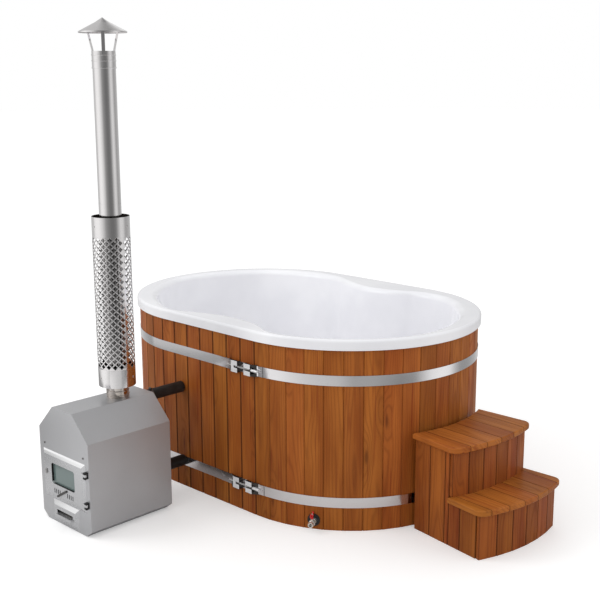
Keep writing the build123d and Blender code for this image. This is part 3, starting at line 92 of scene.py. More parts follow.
class Finish:
    """A material while its nodes are being laid."""

    def __init__(self, name, **constants):
        self.material = bpy.data.materials.new(name)
        self.material.use_nodes = True
        self.tree = self.material.node_tree
        self.shader = self.tree.nodes["Principled BSDF"]
        for socket, value in constants.items():
            self.shader.inputs[socket.replace("_", " ")].default_value = value

    def put(self, socket, value):
        if isinstance(value, Field):
            self.tree.links.new(value.socket, socket)
        else:
            socket.default_value = value

    def node(self, kind, settings, sockets, output=0):
        made = self.tree.nodes.new("ShaderNode" + kind)
        for name, value in settings.items():
            setattr(made, name, value)
        for name, value in sockets.items():
            self.put(made.inputs[name], value)
        return Field(self, made.outputs[output])

    def mix(self, share, first, second):
        """A colour between two colours."""
        return self.node("Mix", {"data_type": "RGBA"}, {0: share, 6: first, 7: second}, 2)

    def place(self):
        """Where a point is on the object, in metres."""
        return self.node("TexCoord", {}, {}, 3)

    def stretched(self, place, scale):
        return self.node("VectorMath", {"operation": "MULTIPLY"}, {0: place, 1: scale})

    def noise(self, place, scale, detail=2.0, roughness=0.5):
        return self.node("TexNoise", {}, {"Vector": place, "Scale": scale, "Detail": detail,
                                          "Roughness": roughness})

    def give(self, **sockets):
        for name, value in sockets.items():
            self.put(self.shader.inputs[name.replace("_", " ")], value)

    def bump(self, height, depth):
        self.give(Normal=self.node("Bump", {}, {"Distance": depth, "Height": height}))


def rgb(red, green, blue):
    """A colour as its 0-255 screen values."""
    return tuple(((one / 255 + 0.055) / 1.055) ** 2.4 if one > 10 else one / 3294.6
                 for one in (red, green, blue)) + (1.0,)


def boards(name):
    """A wood finish, each board's number, its seams, and where a point is across and along it."""
    finish = Finish(name, IOR=1.45, Specular_IOR_Level=0.16)
    number = finish.node("Attribute", {"attribute_name": "board"}, {}, 2)
    seam = finish.node("Attribute", {"attribute_name": "seam"}, {}, 2)
    grain = finish.node("UVMap", {"uv_map": "grain"}, {})
    axes = finish.node("SeparateXYZ", {}, {0: grain}).socket.node.outputs
    return finish, number, seam, Field(finish, axes[0]), Field(finish, axes[1])


pitch_brown = rgb(122, 46, 16)
knot_brown = rgb(84, 40, 14)
# Painted shade for the seams between boards.
seam_shade_brown = rgb(36, 17, 8)


def oiled_wood(name, pale, warm, dark, ring_width, roughness, ground_shade=0.0, seam_shade_share=0.86):
    """Flat-sawn softwood: growth rings cut lengthwise, fine fibres, pitch streaks and a few small knots.

    The last two arguments are painted shade: how much the wood darkens towards the ground, and how dark its
    seams are.
    """
    finish, number, seam, across, along = boards(name)

    def chance(seed):
        return finish.node("TexWhiteNoise", {"noise_dimensions": "1D"}, {"W": number + seed})

    def spread(across_scale, along_scale, seed, detail=2.0):
        spot = finish.node("CombineXYZ", {}, {0: across * across_scale, 1: along * along_scale,
                                              2: number * 3.7 + seed})
        return finish.noise(spot, 1.0, detail)

    cell = finish.node("CombineXYZ", {}, {0: across * 9, 1: along * 1.9, 2: number * 1.3})
    knot = finish.node("TexVoronoi", {"feature": "F1"}, {"Vector": cell, "Scale": 1.0, "Randomness": 1.0})
    knot_core = 1 - knot.between(0.03, 0.10)
    knot_halo = 1 - knot.between(0.06, 0.36)

    # The rings are circles round a pith that lies behind the board and off its middle.
    sideways = across - chance(0.3).swing(0.11) + spread(5, 1.1, 2.0).swing(0.05)
    behind_board = 0.035 + chance(1.7) * 0.05 + spread(3, 0.7, 5.0).swing(0.09) + knot_halo * 0.02
    distance = (sideways * sideways + behind_board * behind_board).root()
    rings = ((distance * (2 * math.pi / ring_width) + spread(14, 2.5, 9.0) * 2.4).sine() + 1) * 0.5
    late = rings ** 3.0
    fibre = spread(900, 9, 11.0, 3.0)
    streak = spread(85, 2.6, 13.0, 2.0).between(0.57, 0.74)
    cloud = spread(13, 1.8, 17.0, 3.0)

    colour = finish.mix(cloud.between(0.32, 0.68), warm, pale)
    colour = finish.mix(late * 0.30 + fibre.swing(0.28), colour, dark)
    colour = finish.mix(streak * 0.55, colour, pitch_brown)
    colour = finish.mix(knot_core * 0.50 + knot_halo * 0.18, colour, knot_brown)
    height = finish.node("SeparateXYZ", {}, {0: finish.place()}, 2)
    # Painted shade: the wood is darkened towards the ground.
    lightness = 0.92 + chance(4.1) * 0.18 + fibre.swing(0.10) - (1 - height.between(0.0, 0.95)) * ground_shade
    colour = finish.node("HueSaturation", {}, {"Hue": 0.497 + chance(6.6) * 0.008,
                                               "Saturation": 1.0, "Value": lightness, "Color": colour})
    # Painted shade darkens the chamfers of the seams between boards.
    colour = finish.mix(seam * seam_shade_share, colour, seam_shade_brown)
    finish.give(Base_Color=colour, Roughness=roughness + late.swing(0.10) + fibre.swing(0.12))
    finish.bump(late * 0.5 + fibre * 0.7 - streak * 0.2, 0.00035)
    return finish.material


def islands(shape):
    """The separate closed bodies of a mesh, each as a list of its faces."""
    left = set(shape.faces)
    found = []
    while left:
        queue = [next(iter(left))]
        left.discard(queue[0])
        body = []
        while queue:
            face = queue.pop()
            body.append(face)
            for edge in face.edges:
                for other in edge.link_faces:
                    if other in left:
                        left.discard(other)
                        queue.append(other)
        found.append(body)
    return sorted(found, key=lambda body: tuple(round(one, 4) for one in body_middle(body)))


def body_middle(body):
    spots = [face.calc_center_median() for face in body]
    return sum(spots, Vector()) / len(spots)


def taken(node):
    """A merged copy of a CAD node's solids, with flat faces whole again."""
    shape = bmesh.new()
    shape.from_mesh(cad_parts[node].data)
    bmesh.ops.remove_doubles(shape, verts=shape.verts, dist=0.00002)
    bmesh.ops.dissolve_limit(shape, angle_limit=math.radians(0.8), verts=shape.verts, edges=shape.edges)
    return shape


def hard_edges(shape, hard_angle=math.radians(32)):
    return [edge for edge in shape.edges if edge.is_manifold and edge.calc_face_angle() > hard_angle]


def soften(shape, width, segments=2, edges=None):
    """Round the hard edges, and give back the new faces."""
    chosen = hard_edges(shape) if edges is None else edges
    return bmesh.ops.bevel(shape, geom=chosen, offset=width, offset_type="OFFSET", affect="EDGES",
                           segments=segments, profile=0.5, material=-1, clamp_overlap=True)["faces"]


def finished(shape, name, material, body, stands_for, smooth=34):
    """Turn a bmesh into a named piece that rides on a body and stands for a CAD node."""
    mesh = bpy.data.meshes.new(name)
    shape.to_mesh(mesh)
    shape.free()
    mesh.shade_smooth()
    mesh.set_sharp_from_angle(angle=math.radians(smooth))
    piece = bpy.data.objects.new(name, mesh)
    bpy.context.scene.collection.objects.link(piece)
    mesh.materials.append(material)
    level = piece.modifiers.new("flat_faces", "WEIGHTED_NORMAL")
    level.keep_sharp = True
    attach(piece, body)
    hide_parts(stands_for)
    return piece


def boarded(name, node, grain, material, rounding, outline=None, rim=0.0):
    """A node's boards with eased seams; the edges that outline picks are rounded by rim instead."""
    shape = taken(node)
    seam = shape.faces.layers.float.new("seam")
    number = shape.faces.layers.float.new("board")
    if outline:
        soften(shape, rim, 4, [edge for edge in hard_edges(shape) if outline(edge)])
    seams = [edge for edge in hard_edges(shape)
             if outline or abs((edge.verts[0].co - edge.verts[1].co).normalized().dot(grain)) > 0.999]
    for face in soften(shape, rounding, 1, seams):
        face[seam] = 1.0
    uv = shape.loops.layers.uv.new("grain")
    first_number = len(name) * 7.31
    for index, body in enumerate(islands(shape)):
        middle = body_middle(body)
        for face in body:
            face[number] = first_number + index
            side = face.normal.cross(grain)
            side = side.normalized() if side.length > 0.3 else grain.orthogonal().normalized()
            for loop in face.loops:
                spot = loop.vert.co - middle
                loop[uv].uv = (spot.dot(side), loop.vert.co.dot(grain))
    return finished(shape, name, material, "tub", node)


upright = Vector((0, 0, 1))
stave_wood = oiled_wood("stave_wood", rgb(178, 102, 40), rgb(153, 80, 27), rgb(104, 49, 14),
                        ring_width=0.0085, roughness=0.50, ground_shade=0.14)
for part in ("near_side", "step_end", "far_side", "left_end"):
    boarded("stave_boards_" + part, "staves_" + part, upright, stave_wood, 0.0016)


# Basin: one white acrylic moulding. Its wide rim is turned down over the staves, and the well has two
# lobes with a pinch on each side, a seat all round and a deep foot well in the middle.

def mottled(name, first, second, cloud, edges, grain, roughness, spread, depth, cloud_spread=0.0,
            **constants):
    """Two colours in soft clouds; a finer grain roughens and dents the surface.

    Cloud and grain are the scale and the detail of a noise, and edges the values between which the
    colours blend.
    """
    finish = Finish(name, **constants)
    spot = finish.place()
    patches = finish.noise(spot, *cloud)
    fine = finish.noise(spot, *grain)
    finish.give(Base_Color=finish.mix(patches.between(*edges), first, second),
                Roughness=roughness + patches.swing(cloud_spread) + fine.swing(spread))
    finish.bump(fine, depth)
    return finish.material


basin_white = mottled("basin_white", rgb(241, 241, 245), rgb(249, 249, 252), cloud=(3.0, 3.0),
                      edges=(0.35, 0.7), grain=(55.0, 2.0), roughness=0.20, spread=0.05, depth=0.0002,
                      cloud_spread=0.06, IOR=1.49, Coat_Weight=0.35, Coat_Roughness=0.08)

basin_low, basin_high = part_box("basin")
basin_wall = 0.008
rim_z = basin_high.z
rim_radius = basin_high.y
end_reach = basin_high.x - rim_radius
rim_edge_radius = 0.014
rim_skirt_depth = 0.050
wall_draft = 0.050
roll_width = 0.036
roll_height = 0.030
seat_z = 0.450
seat_fillet = 0.030
seat_fillet_draw = 0.010
foot_z = basin_low.z + basin_wall
foot_half_length = 0.360
foot_half_width = 0.416
loop_count = 344
well_reach = (0.930, 0.936, 0.623, 0.585)
well_line = (
    (-0.943, -0.334), (-0.862, -0.526), (-0.743, -0.716), (-0.652, -0.811), (-0.556, -0.893),
    (-0.460, -0.967), (-0.382, -0.999), (-0.296, -0.998), (-0.213, -0.953), (-0.118, -0.902),
    (-0.028, -0.867), (0.053, -0.859), (0.139, -0.864), (0.233, -0.886), (0.310, -0.928),
    (0.383, -0.978), (0.454, -0.989), (0.534, -0.963), (0.653, -0.893), (0.733, -0.822),
    (0.803, -0.738), (0.921, -0.524), (0.969, -0.383), (1.000, -0.206), (0.989, 0.057),
    (0.921, 0.381), (0.882, 0.495), (0.793, 0.665), (0.654, 0.859), (0.504, 0.950),
    (0.369, 0.940), (0.262, 0.862), (0.169, 0.817), (0.045, 0.798), (-0.056, 0.836),
    (-0.160, 0.896), (-0.294, 0.983), (-0.390, 1.000), (-0.480, 0.992), (-0.655, 0.896),
    (-0.840, 0.668), (-0.942, 0.411), (-1.000, -0.092),
)

curve = bpy.data.curves.new("well_edge", "CURVE")
curve.dimensions = "3D"
line = curve.splines.new("BEZIER")
line.bezier_points.add(len(well_line) - 1)
for point, (x_share, y_share) in zip(line.bezier_points, well_line):
    point.co = (x_share, y_share, 0)
    point.handle_left_type = point.handle_right_type = "AUTO"
line.use_cyclic_u = True
line.resolution_u = loop_count // len(well_line)
edge_object = bpy.data.objects.new("well_edge", curve)
edge_mesh = bpy.data.meshes.new_from_object(edge_object)
bpy.data.objects.remove(edge_object)

basin = bmesh.new()
basin.from_mesh(edge_mesh)


def well_place(share, inset, height):
    across = (well_reach[1] if share.x > 0 else well_reach[0]) - inset
    away = (well_reach[3] if share.y > 0 else well_reach[2]) - inset
    return Vector((share.x * across, share.y * away, height))


def next_loop(shape, edges, move):
    """Extrude a loop of edges and put its new points where move says."""
    made = bmesh.ops.extrude_edge_only(shape, edges=edges)["geom"]
    for vert in made:
        if isinstance(vert, bmesh.types.BMVert):
            vert.co = move(vert)
    return [one for one in made if isinstance(one, bmesh.types.BMEdge)]


shares = basin.verts.layers.float_vector.new("share")
for vert in basin.verts:
    vert[shares] = vert.co.copy()


def wall_inset(height):
    """How far the well's wall has drawn in at a height, or flared out where it rolls into the rim."""
    drawn = wall_draft * (rim_z - height) / (rim_z - seat_z)
    below = min((rim_z - height) / roll_height, 1)
    return drawn - roll_width * (1 - math.sqrt(1 - (1 - below) ** 2))


crest = list(basin.edges)
for vert in basin.verts:
    vert.co = well_place(vert[shares], wall_inset(rim_z), rim_z)
well_edges = crest
roll_low = rim_z - roll_height
fillet_top = seat_z + seat_fillet
roll_steps = [rim_z - roll_height * (1 - math.cos(math.pi / 2 * step / 8)) for step in range(1, 9)]
wall_steps = [roll_low - (roll_low - fillet_top) * step / 4 for step in range(1, 5)]
for height in roll_steps + wall_steps:
    draw = wall_inset(height)
    well_edges = next_loop(basin, well_edges, lambda vert: well_place(vert[shares], draw, height))
for step in range(1, 6):
    turn = math.pi / 2 * step / 5
    height = fillet_top - seat_fillet * math.sin(turn)
    draw = wall_inset(fillet_top) + seat_fillet_draw * (1 - math.cos(turn))
    well_edges = next_loop(basin, well_edges, lambda vert: well_place(vert[shares], draw, height))


def outward(vert, reach):
    """The point in the same direction from the well's middle whose distance reach gives."""
    way = Vector((vert.co.x, vert.co.y, 0)).normalized()
    return way * reach(way)


def foot_reach(shrink, squareness=16):
    """A rectangle with round corners."""
    def reach(way):
        along = abs(way.x / (foot_half_length - shrink)) ** squareness
        across = abs(way.y / (foot_half_width - shrink)) ** squareness
        return (along + across) ** (-1 / squareness)
    return reach


def rim_reach(radius):
    """Two half circles joined by straight sides."""
    def reach(way):
        if radius / max(abs(way.y), 0.001) * abs(way.x) <= end_reach:
            return radius / abs(way.y)
        ahead = end_reach * abs(way.x)
        return ahead + math.sqrt(ahead * ahead + radius * radius - end_reach * end_reach)
    return reach


# The foot well's edge, draft and floor fillet, as how far the wall has drawn in at each height.
foot_steps = ((0, seat_z), (0.002, seat_z - 0.001), (0.005, seat_z - 0.004), (0.006, seat_z - 0.010),
              (0.009, foot_z + 0.290), (0.015, foot_z + 0.150), (0.021, foot_z + 0.035),
              (0.024, foot_z + 0.015), (0.031, foot_z + 0.005), (0.043, foot_z))
for shrink, height in foot_steps:
    well_edges = next_loop(basin, well_edges,
                           lambda vert: outward(vert, foot_reach(shrink)) + Vector((0, 0, height)))
bmesh.ops.contextual_create(basin, geom=well_edges)

for step in range(6):
    turn = math.pi / 2 * step / 5
    radius = rim_radius - rim_edge_radius * (1 - math.sin(turn))
    height = rim_z - rim_edge_radius * (1 - math.cos(turn))
    crest = next_loop(basin, crest, lambda vert: outward(vert, rim_reach(radius)) + Vector((0, 0, height)))
skirt_low = Vector((0, 0, rim_z - rim_skirt_depth))
crest = next_loop(basin, crest, lambda vert: outward(vert, rim_reach(rim_radius)) + skirt_low)
bmesh.ops.recalc_face_normals(basin, faces=basin.faces)
if sum(face.normal.z * face.calc_area() for face in basin.faces) < 0:
    bmesh.ops.reverse_faces(basin, faces=basin.faces)
moulding = finished(basin, "basin_moulding", basin_white, "tub", "basin", 50)
shell = moulding.modifiers.new("shell", "SOLIDIFY")
shell.thickness = basin_wall
shell.offset = -1
lower_edge = moulding.modifiers.new("lower_edge", "BEVEL")
lower_edge.width = 0.0025
lower_edge.segments = 3
lower_edge.angle_limit = math.radians(60)
moulding.modifiers.move(0, 2)


# Timber under the basin: joists, deck boards, seat posts and two rings behind the staves, sawn from the
# same softwood and left rough. They carry the basin and keep the staves in line.

frame_wood = oiled_wood("frame_wood", rgb(206, 172, 124), rgb(190, 150, 102), rgb(150, 110, 70),
                        ring_width=0.007, roughness=0.75)
lengthwise = Vector((1, 0, 0))
crosswise = Vector((0, 1, 0))
for name, node, grain in (("joists", "floor_joists", lengthwise), ("deck", "deck_boards", crosswise),
                          ("posts", "seat_posts", upright), ("rings", "stave_rings", lengthwise)):
    boarded("timber_" + name, node, grain, frame_wood, 0.0015)


# Hoops: two bands of brushed stainless steel strip, 50 mm by 2 mm, one near the rim and one near the
# ground. The brushing runs along the strip, and the weather has left faint clouds and specks.

def brushed_steel(name, tint, lines, roughness, cloud=0.10, metal=1.0):
    """Bright steel with fine lines; lines is how often they repeat along X, Y and Z."""
    finish = Finish(name, Metallic=metal)
    spot = finish.place()
    fine = finish.noise(finish.stretched(spot, lines), 1.0, 3.0, 0.6)
    stain = finish.noise(spot, 6.0, 4.0)
    speck = finish.noise(spot, 90.0, 2.0).between(0.62, 0.75)
    shade = fine.swing(0.10) + stain.swing(cloud) - speck * 0.03
    darker = tuple(one * 0.78 for one in tint[:3]) + (1.0,)
    finish.give(Base_Color=finish.mix(0.3 - shade * 2, tint, darker),
                Roughness=roughness + fine.swing(0.10) + stain.swing(0.08) + speck * 0.05)
    finish.bump(fine, 0.00002)
    return finish.material


def dressed(name, node, material, body="tub", rounding=0.0006, segments=2):
    """A metal or plastic piece with its edges eased."""
    shape = taken(node)
    soften(shape, rounding, segments)
    return finished(shape, name, material, body, node)


hoop_steel = brushed_steel("hoop_steel", rgb(240, 238, 239), (14, 14, 1500), 0.13)
for level in ("upper", "lower"):
    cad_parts[level + "_hoop"].data.materials[0] = hoop_steel


# Clasps: on each hoop two lugs folded from steel sheet face each other, and a threaded rod runs through
# the blocks inside them. Turning the long nut pulls the hoop tight. Each lug's foot is riveted on.

clasp_steel = brushed_steel("clasp_steel", rgb(246, 246, 247), (40, 40, 900), 0.36, metal=0.35)
# Painted shade: dark steel for the lugs' sides and for the blocks inside them, which lie in shade.
lug_shade_steel = brushed_steel("lug_shade_steel", rgb(84, 81, 79), (60, 60, 60), 0.45)
strip_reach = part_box("upper_hoop")[1].y + 0.009
lugs = taken("clasp_lugs")
for face in lugs.faces:
    on_strip = abs(face.calc_center_median().y) < strip_reach
    # The lugs' sides take the painted shade, and their feet on the strip take the hoop's steel.
    face.material_index = 1 if abs(face.normal.y) < 0.9 else 2 if on_strip else 0
soften(lugs, 0.0006)
lug_piece = finished(lugs, "hoop_lugs", clasp_steel, "tub", "clasp_lugs")
lug_piece.data.materials.append(lug_shade_steel)
lug_piece.data.materials.append(hoop_steel)
dressed("lug_blocks", "clasp_blocks", lug_shade_steel, rounding=0.0006)
dressed("hoop_rivets", "clasp_rivets", hoop_steel, rounding=0.0012, segments=3)

thread_pitch = 0.00125
thread_steel = Finish("thread_steel", Metallic=0.5)
spot = thread_steel.place()
along = thread_steel.node("SeparateXYZ", {}, {0: spot})
turns = (along * (2 * math.pi / thread_pitch)).sine()
grime = thread_steel.noise(spot, 120.0, 3.0)
# Painted shade darkens the grooves of the thread.
thread_steel.give(Base_Color=thread_steel.mix(turns.between(-0.2, -1.0) * 0.5, rgb(244, 243, 242),
                                              rgb(140, 136, 132)),
                  Roughness=0.24 + grime.swing(0.25))
thread_steel.bump(turns, 0.0004)
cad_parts["clasp_rods"].data.materials[0] = thread_steel.material
dressed("hoop_nuts", "clasp_nuts", clasp_steel, rounding=0.0007)


# Hoses: two short lengths of black rubber hose, 58 mm across, between heater and tub. Worm-drive bands
# grip them on the heater's spigots, and plastic flanges clamp the wall fittings against the basin.

rubber = Finish("hose_rubber", IOR=1.5)
spot = rubber.place()
cloth = rubber.noise(rubber.stretched(spot, (420, 60, 420)), 1.0, 2.0)
dust = rubber.noise(spot, 18.0, 4.0)
rubber.give(Base_Color=rubber.mix(dust.between(0.45, 0.8), rgb(22, 20, 19), rgb(44, 39, 36)),
            Roughness=0.50 + dust.swing(0.25))
rubber.bump(cloth, 0.0003)
for level in ("upper", "lower"):
    dressed(level + "_water_hose", level + "_hose", rubber.material, rounding=0.004,
            segments=4)


def pebbled(name, first, second, grain, roughness, spread, depth, **constants):
    """Two colours that follow the fine grain which also roughens and dents the surface."""
    finish = Finish(name, **constants)
    fine = finish.noise(finish.place(), *grain)
    finish.give(Base_Color=finish.mix(fine, first, second), Roughness=roughness + fine.swing(spread))
    finish.bump(fine, depth)
    return finish.material


fitting_plastic = pebbled("fitting_plastic", rgb(222, 222, 224), rgb(236, 236, 238), grain=(260.0, 2.0),
                          roughness=0.38, spread=0.15, depth=0.00015, IOR=1.46, Coat_Weight=0.15)
dressed("inlet_flanges", "basin_inlet_flanges", fitting_plastic, rounding=0.0015)
dressed("inlet_spigots", "wall_spigots", fitting_plastic, rounding=0.0008)
clamp_steel = brushed_steel("clamp_steel", rgb(98, 96, 94), (300, 300, 300), 0.35)
dressed("hose_bands", "hose_clamps", clamp_steel, rounding=0.0004)


# Drain: a strainer in the foot well, a white plastic waste pipe under it and a quarter-turn ball valve
# outside, nickel plated, on a black wall plate. The red butterfly handle turns the ball.

strainer_steel = brushed_steel("strainer_steel", rgb(220, 219, 218), (200, 200, 200), 0.24)
dressed("drain_strainer", "waste_strainer", strainer_steel, rounding=0.0005)
dressed("drain_pipework", "waste_pipe", fitting_plastic, rounding=0.0005)

rosette_plastic = pebbled("rosette_plastic", rgb(18, 18, 18), rgb(36, 35, 34), grain=(400.0, 2.0),
                          roughness=0.42, spread=0.20, depth=0.0002, IOR=1.46)
dressed("drain_wall_plate", "drain_rosette", rosette_plastic, rounding=0.0012)

valve_nickel = mottled("valve_nickel", rgb(240, 236, 230), rgb(214, 207, 198), cloud=(35.0, 3.0),
                       edges=(0.3, 0.8), grain=(220.0, 3.0), roughness=0.20, spread=0.15, depth=0.00012,
                       cloud_spread=0.15, Metallic=0.7)
dressed("valve_casting", "drain_valve_body", valve_nickel, rounding=0.0007)
dressed("valve_ball_stem", "drain_valve_ball", valve_nickel, "valve_turn", 0.0004)

handle_red = mottled("handle_red", rgb(216, 24, 26), rgb(186, 18, 20), cloud=(160.0, 3.0),
                     edges=(0.35, 0.8), grain=(160.0, 3.0), roughness=0.34, spread=0.20, depth=0.00015,
                     IOR=1.46, Coat_Weight=0.3, Coat_Roughness=0.2)
dressed("valve_wing", "drain_handle", handle_red, "valve_turn", 0.0016, 3)


# Heater: a water jacket folded and welded from 3 mm aluminium sheet. The casing wraps over sloping
# shoulders, the front and back plates close its ends, and the folds catch the light.

def satin_aluminium(name, tint, roughness, lines):
    """Mill-finish sheet: fine rolling lines, faint clouds and a few handling marks."""
    finish = Finish(name, Metallic=0.75)
    spot = finish.place()
    rolled = finish.noise(finish.stretched(spot, lines), 1.0, 3.0, 0.6)
    cloud = finish.noise(spot, 4.0, 4.0)
    marks = finish.noise(spot, 42.0, 3.0).between(0.63, 0.78)
    tarnished = tuple(one * 0.84 for one in tint[:3]) + (1.0,)
    shade = 0.40 + rolled.swing(0.3) + cloud.swing(0.6) + marks * 0.15
    finish.give(Base_Color=finish.mix(shade, tint, tarnished),
                Roughness=roughness + rolled.swing(0.10) + cloud.swing(0.14) + marks * 0.08)
    finish.bump(rolled, 0.00003)
    return finish.material


aluminium = satin_aluminium("heater_aluminium", rgb(198, 198, 200), 0.38, (60, 900, 60))
plate_aluminium = satin_aluminium("plate_aluminium", rgb(197, 197, 199), 0.38, (900, 60, 60))
dressed("heater_jacket", "heater_casing", aluminium, rounding=0.0030, segments=3)
dressed("heater_front", "heater_front_plate", plate_aluminium, rounding=0.0006)
# Painted shade: the back plate is a darker copy of the jacket's aluminium, for the shade between heater and
# tub.
shaded_back_aluminium = satin_aluminium("shaded_back_aluminium", rgb(150, 149, 149), 0.50, (900, 60, 60))
dressed("heater_back", "heater_back_plate", shaded_back_aluminium, rounding=0.0006)
screw_steel = brushed_steel("screw_steel", rgb(120, 118, 116), (200, 200, 200), 0.35)
dressed("front_screws", "front_plate_screws", screw_steel, rounding=0.0012, segments=3)


# Firebox and grate: the fire chamber is welded inside the jacket with water all round it, sooty from use.
# A cast iron grate lies on its floor, above the ash drawer's tunnel.

soot = mottled("sooty_aluminium", rgb(40, 38, 36), rgb(104, 100, 96), cloud=(9.0, 4.0), edges=(0.35, 0.75),
               grain=(60.0, 5.0), roughness=0.75, spread=0.30, depth=0.0006, Metallic=0.35)
dressed("fire_chamber", "firebox", soot, rounding=0.001)

grate_iron = mottled("grate_iron", rgb(42, 40, 40), rgb(86, 58, 44), cloud=(25.0, 4.0), edges=(0.5, 0.75),
                     grain=(350.0, 3.0), roughness=0.72, spread=0.25, depth=0.0006, Metallic=0.6)
dressed("grate_casting", "fire_grate", grate_iron, rounding=0.0012)


# Door: a pressed aluminium plate with sloping edges and a window, on two pinned hinges. Under the window
# two groups of slots let air in; a plate behind them slides when the lever outside is swung.

door_aluminium = satin_aluminium("door_aluminium", rgb(204, 204, 206), 0.26, (500, 60, 60))
door_steel = brushed_steel("door_steel", rgb(170, 168, 167), (60, 60, 900), 0.30)
# Black steel for the hinges and the slide rails, and painted shade for the walls of the slots and the plate
# behind them.
black_steel_and_slot_shade = pebbled("blackened_steel_and_slot_shade", rgb(20, 20, 21), rgb(44, 43, 43), grain=(300.0, 3.0),
                      roughness=0.45, spread=0.25, depth=0.0002, Metallic=0.5)
# Painted highlight: a brighter, glossier copy of the door's aluminium for the upward slopes.
lit_slope_aluminium = satin_aluminium("lit_slope_aluminium", rgb(251, 251, 252), 0.12, (500, 60, 60))
door_low, door_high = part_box("door_panel")
plate_middle = (door_low.y + door_high.y) / 2


def pressed_plate(name, node, body):
    """A plate whose upper slope has a painted highlight and whose cut edges inside the openings are painted
    black as shade.
    """
    shape = taken(node)
    for face in shape.faces:
        from_middle = abs(face.calc_center_median().y - plate_middle)
        # The upward slopes take the painted highlight, and the walls of the openings take the painted
        # shade.
        if 0.3 < face.normal.z < 0.95:
            face.material_index = 1
        elif abs(face.normal.y) < 0.3 and from_middle < 0.001:
            face.material_index = 2
    soften(shape, 0.0006)
    piece = finished(shape, name, door_aluminium, body, node)
    piece.data.materials.append(lit_slope_aluminium)
    piece.data.materials.append(black_steel_and_slot_shade)


pressed_plate("door_plate", "door_panel", "door")
dressed("door_leaves", "door_hinge_leaves", door_aluminium, "door", 0.0006)
dressed("window_frame", "door_glass_frame", door_steel, "door", 0.0005)
dressed("slide_rails", "air_slide_rails", black_steel_and_slot_shade, "door", 0.0004)
# The slide plate is painted black as the shade seen through the slots.
dressed("slide_plate", "air_slide", black_steel_and_slot_shade, "slide", 0.0003)

glass = Finish("door_glass", IOR=1.5, Coat_Weight=0.6, Coat_Roughness=0.03)
spot = glass.place()
film = glass.noise(spot, 14.0, 4.0)
height = glass.node("SeparateXYZ", {}, {0: spot}, 2)
smoke = (1 - height.between(0.20, 0.30)) * 0.12 + film.swing(0.3)
glass.give(Base_Color=glass.mix(0.4 + smoke, rgb(112, 130, 127), rgb(88, 102, 101)),
           Roughness=0.10 + film * 0.12)
glass.bump(film, 0.0001)
dressed("window_glass", "door_glass", glass.material, "door", 0.0005)

dressed("hinge_bodies", "hinge_blocks", black_steel_and_slot_shade, rounding=0.0012, segments=3)
dressed("hinge_rods", "hinge_pins", black_steel_and_slot_shade, rounding=0.0006)
lever_steel = brushed_steel("lever_steel", rgb(92, 90, 89), (400, 60, 400), 0.32)
dressed("lever_bar", "air_lever", lever_steel, "lever", 0.0008, 3)
dressed("latch_knob", "door_latch", door_steel, "latch", 0.0008, 3)


# Ash drawer: a pressed face like the door's on a steel tray that runs in the tunnel under the grate. The
# slot's lower lip is folded out as a grip.

pressed_plate("drawer_front", "drawer_face", "drawer")
dressed("drawer_tray", "ash_tray", soot, "drawer", 0.0004)


# Chimney: rolled stainless pipe in two lengths with a beaded collar on the heater, a beaded sleeve at the
# top and a spun cone cap on three bent straps. Painted shade darkens the lower length inside the guard.

guard_low, guard_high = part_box("heat_guard")
flue_x = (guard_low.x + guard_high.x) / 2
flue_y = (guard_low.y + guard_high.y) / 2
pipe_steps = 96
pipe_sheet = 0.0015
collar_sheet = 0.0020
slip_fit = 0.0002
joint_gap = 0.0004


def round_size(node):
    """The outer radius and the lowest and highest height of a CAD node round the flue's axis."""
    low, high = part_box(node)
    return high.x - flue_x, low.z, high.z


def spun(points):
    """A thin body turned round the flue's axis from a closed profile of radius and height."""
    shape = bmesh.new()
    verts = [shape.verts.new((flue_x + radius, flue_y, height)) for radius, height in points]
    edges = [shape.edges.new(pair) for pair in zip(verts, verts[1:] + verts[:1])]
    bmesh.ops.spin(shape, geom=verts + edges, cent=(flue_x, flue_y, 0), axis=(0, 0, 1), angle=2 * math.pi,
                   steps=pipe_steps, use_merge=True)
    bmesh.ops.remove_doubles(shape, verts=shape.verts, dist=0.000001)
    bmesh.ops.recalc_face_normals(shape, faces=shape.faces)
    return shape


def beaded(node, inner, sheet, beads, bead_height, bead_rise):
    """A sleeve's profile with round beads rolled into it; beads are their heights above its lower end."""
    _, low, high = round_size(node)
    outside = [(inner + sheet, low)]
    for bead in beads:
        for step in range(7):
            turn = math.pi * step / 6
            outside.append((inner + sheet + bead_rise * math.sin(turn),
                            low + bead - bead_height / 2 * math.cos(turn)))
    return outside + [(inner + sheet, high), (inner, high), (inner, low)]


def pipe_steel(name, heat_from, heat_to, guard_shade=0.0):
    """Polished sheet; heat tints it up to heat_to, and painted shade darkens the pipe inside the guard."""
    finish = Finish(name, Metallic=1.0)
    spot = finish.place()
    fine = finish.noise(finish.stretched(spot, (9, 9, 700)), 1.0, 3.0, 0.6)
    stain = finish.noise(spot, 7.0, 4.0)
    height = finish.node("SeparateXYZ", {}, {0: spot}, 2)
    heat = (1 - height.between(heat_from, heat_to)) * (0.35 + stain * 0.5)
    steel = finish.mix(0.30 + fine.swing(0.3) + stain.swing(0.4), rgb(242, 240, 240), rgb(214, 211, 210))
    steel = finish.mix(heat, steel, rgb(176, 158, 138))
    if guard_shade:
        # Painted shade: the pipe is darkened where the guard hides it.
        above_foot = height.between(guard_low.z - 0.015, guard_low.z + 0.055)
        above_head = height.between(guard_high.z - 0.041, guard_high.z + 0.009)
        steel = finish.mix(above_foot * (1 - above_head) * guard_shade, steel, rgb(58, 52, 50))
    finish.give(Base_Color=steel, Roughness=0.13 + fine.swing(0.05) + stain.swing(0.05))
    finish.bump(fine, 0.00001)
    return finish.material


flue_steel = pipe_steel("flue_steel", 0.58, 0.72)
guard_shaded_steel = pipe_steel("guard_shaded_steel", 0.58, 0.72, 0.6)
guard_steel = pipe_steel("guard_steel", 0.30, 0.40)

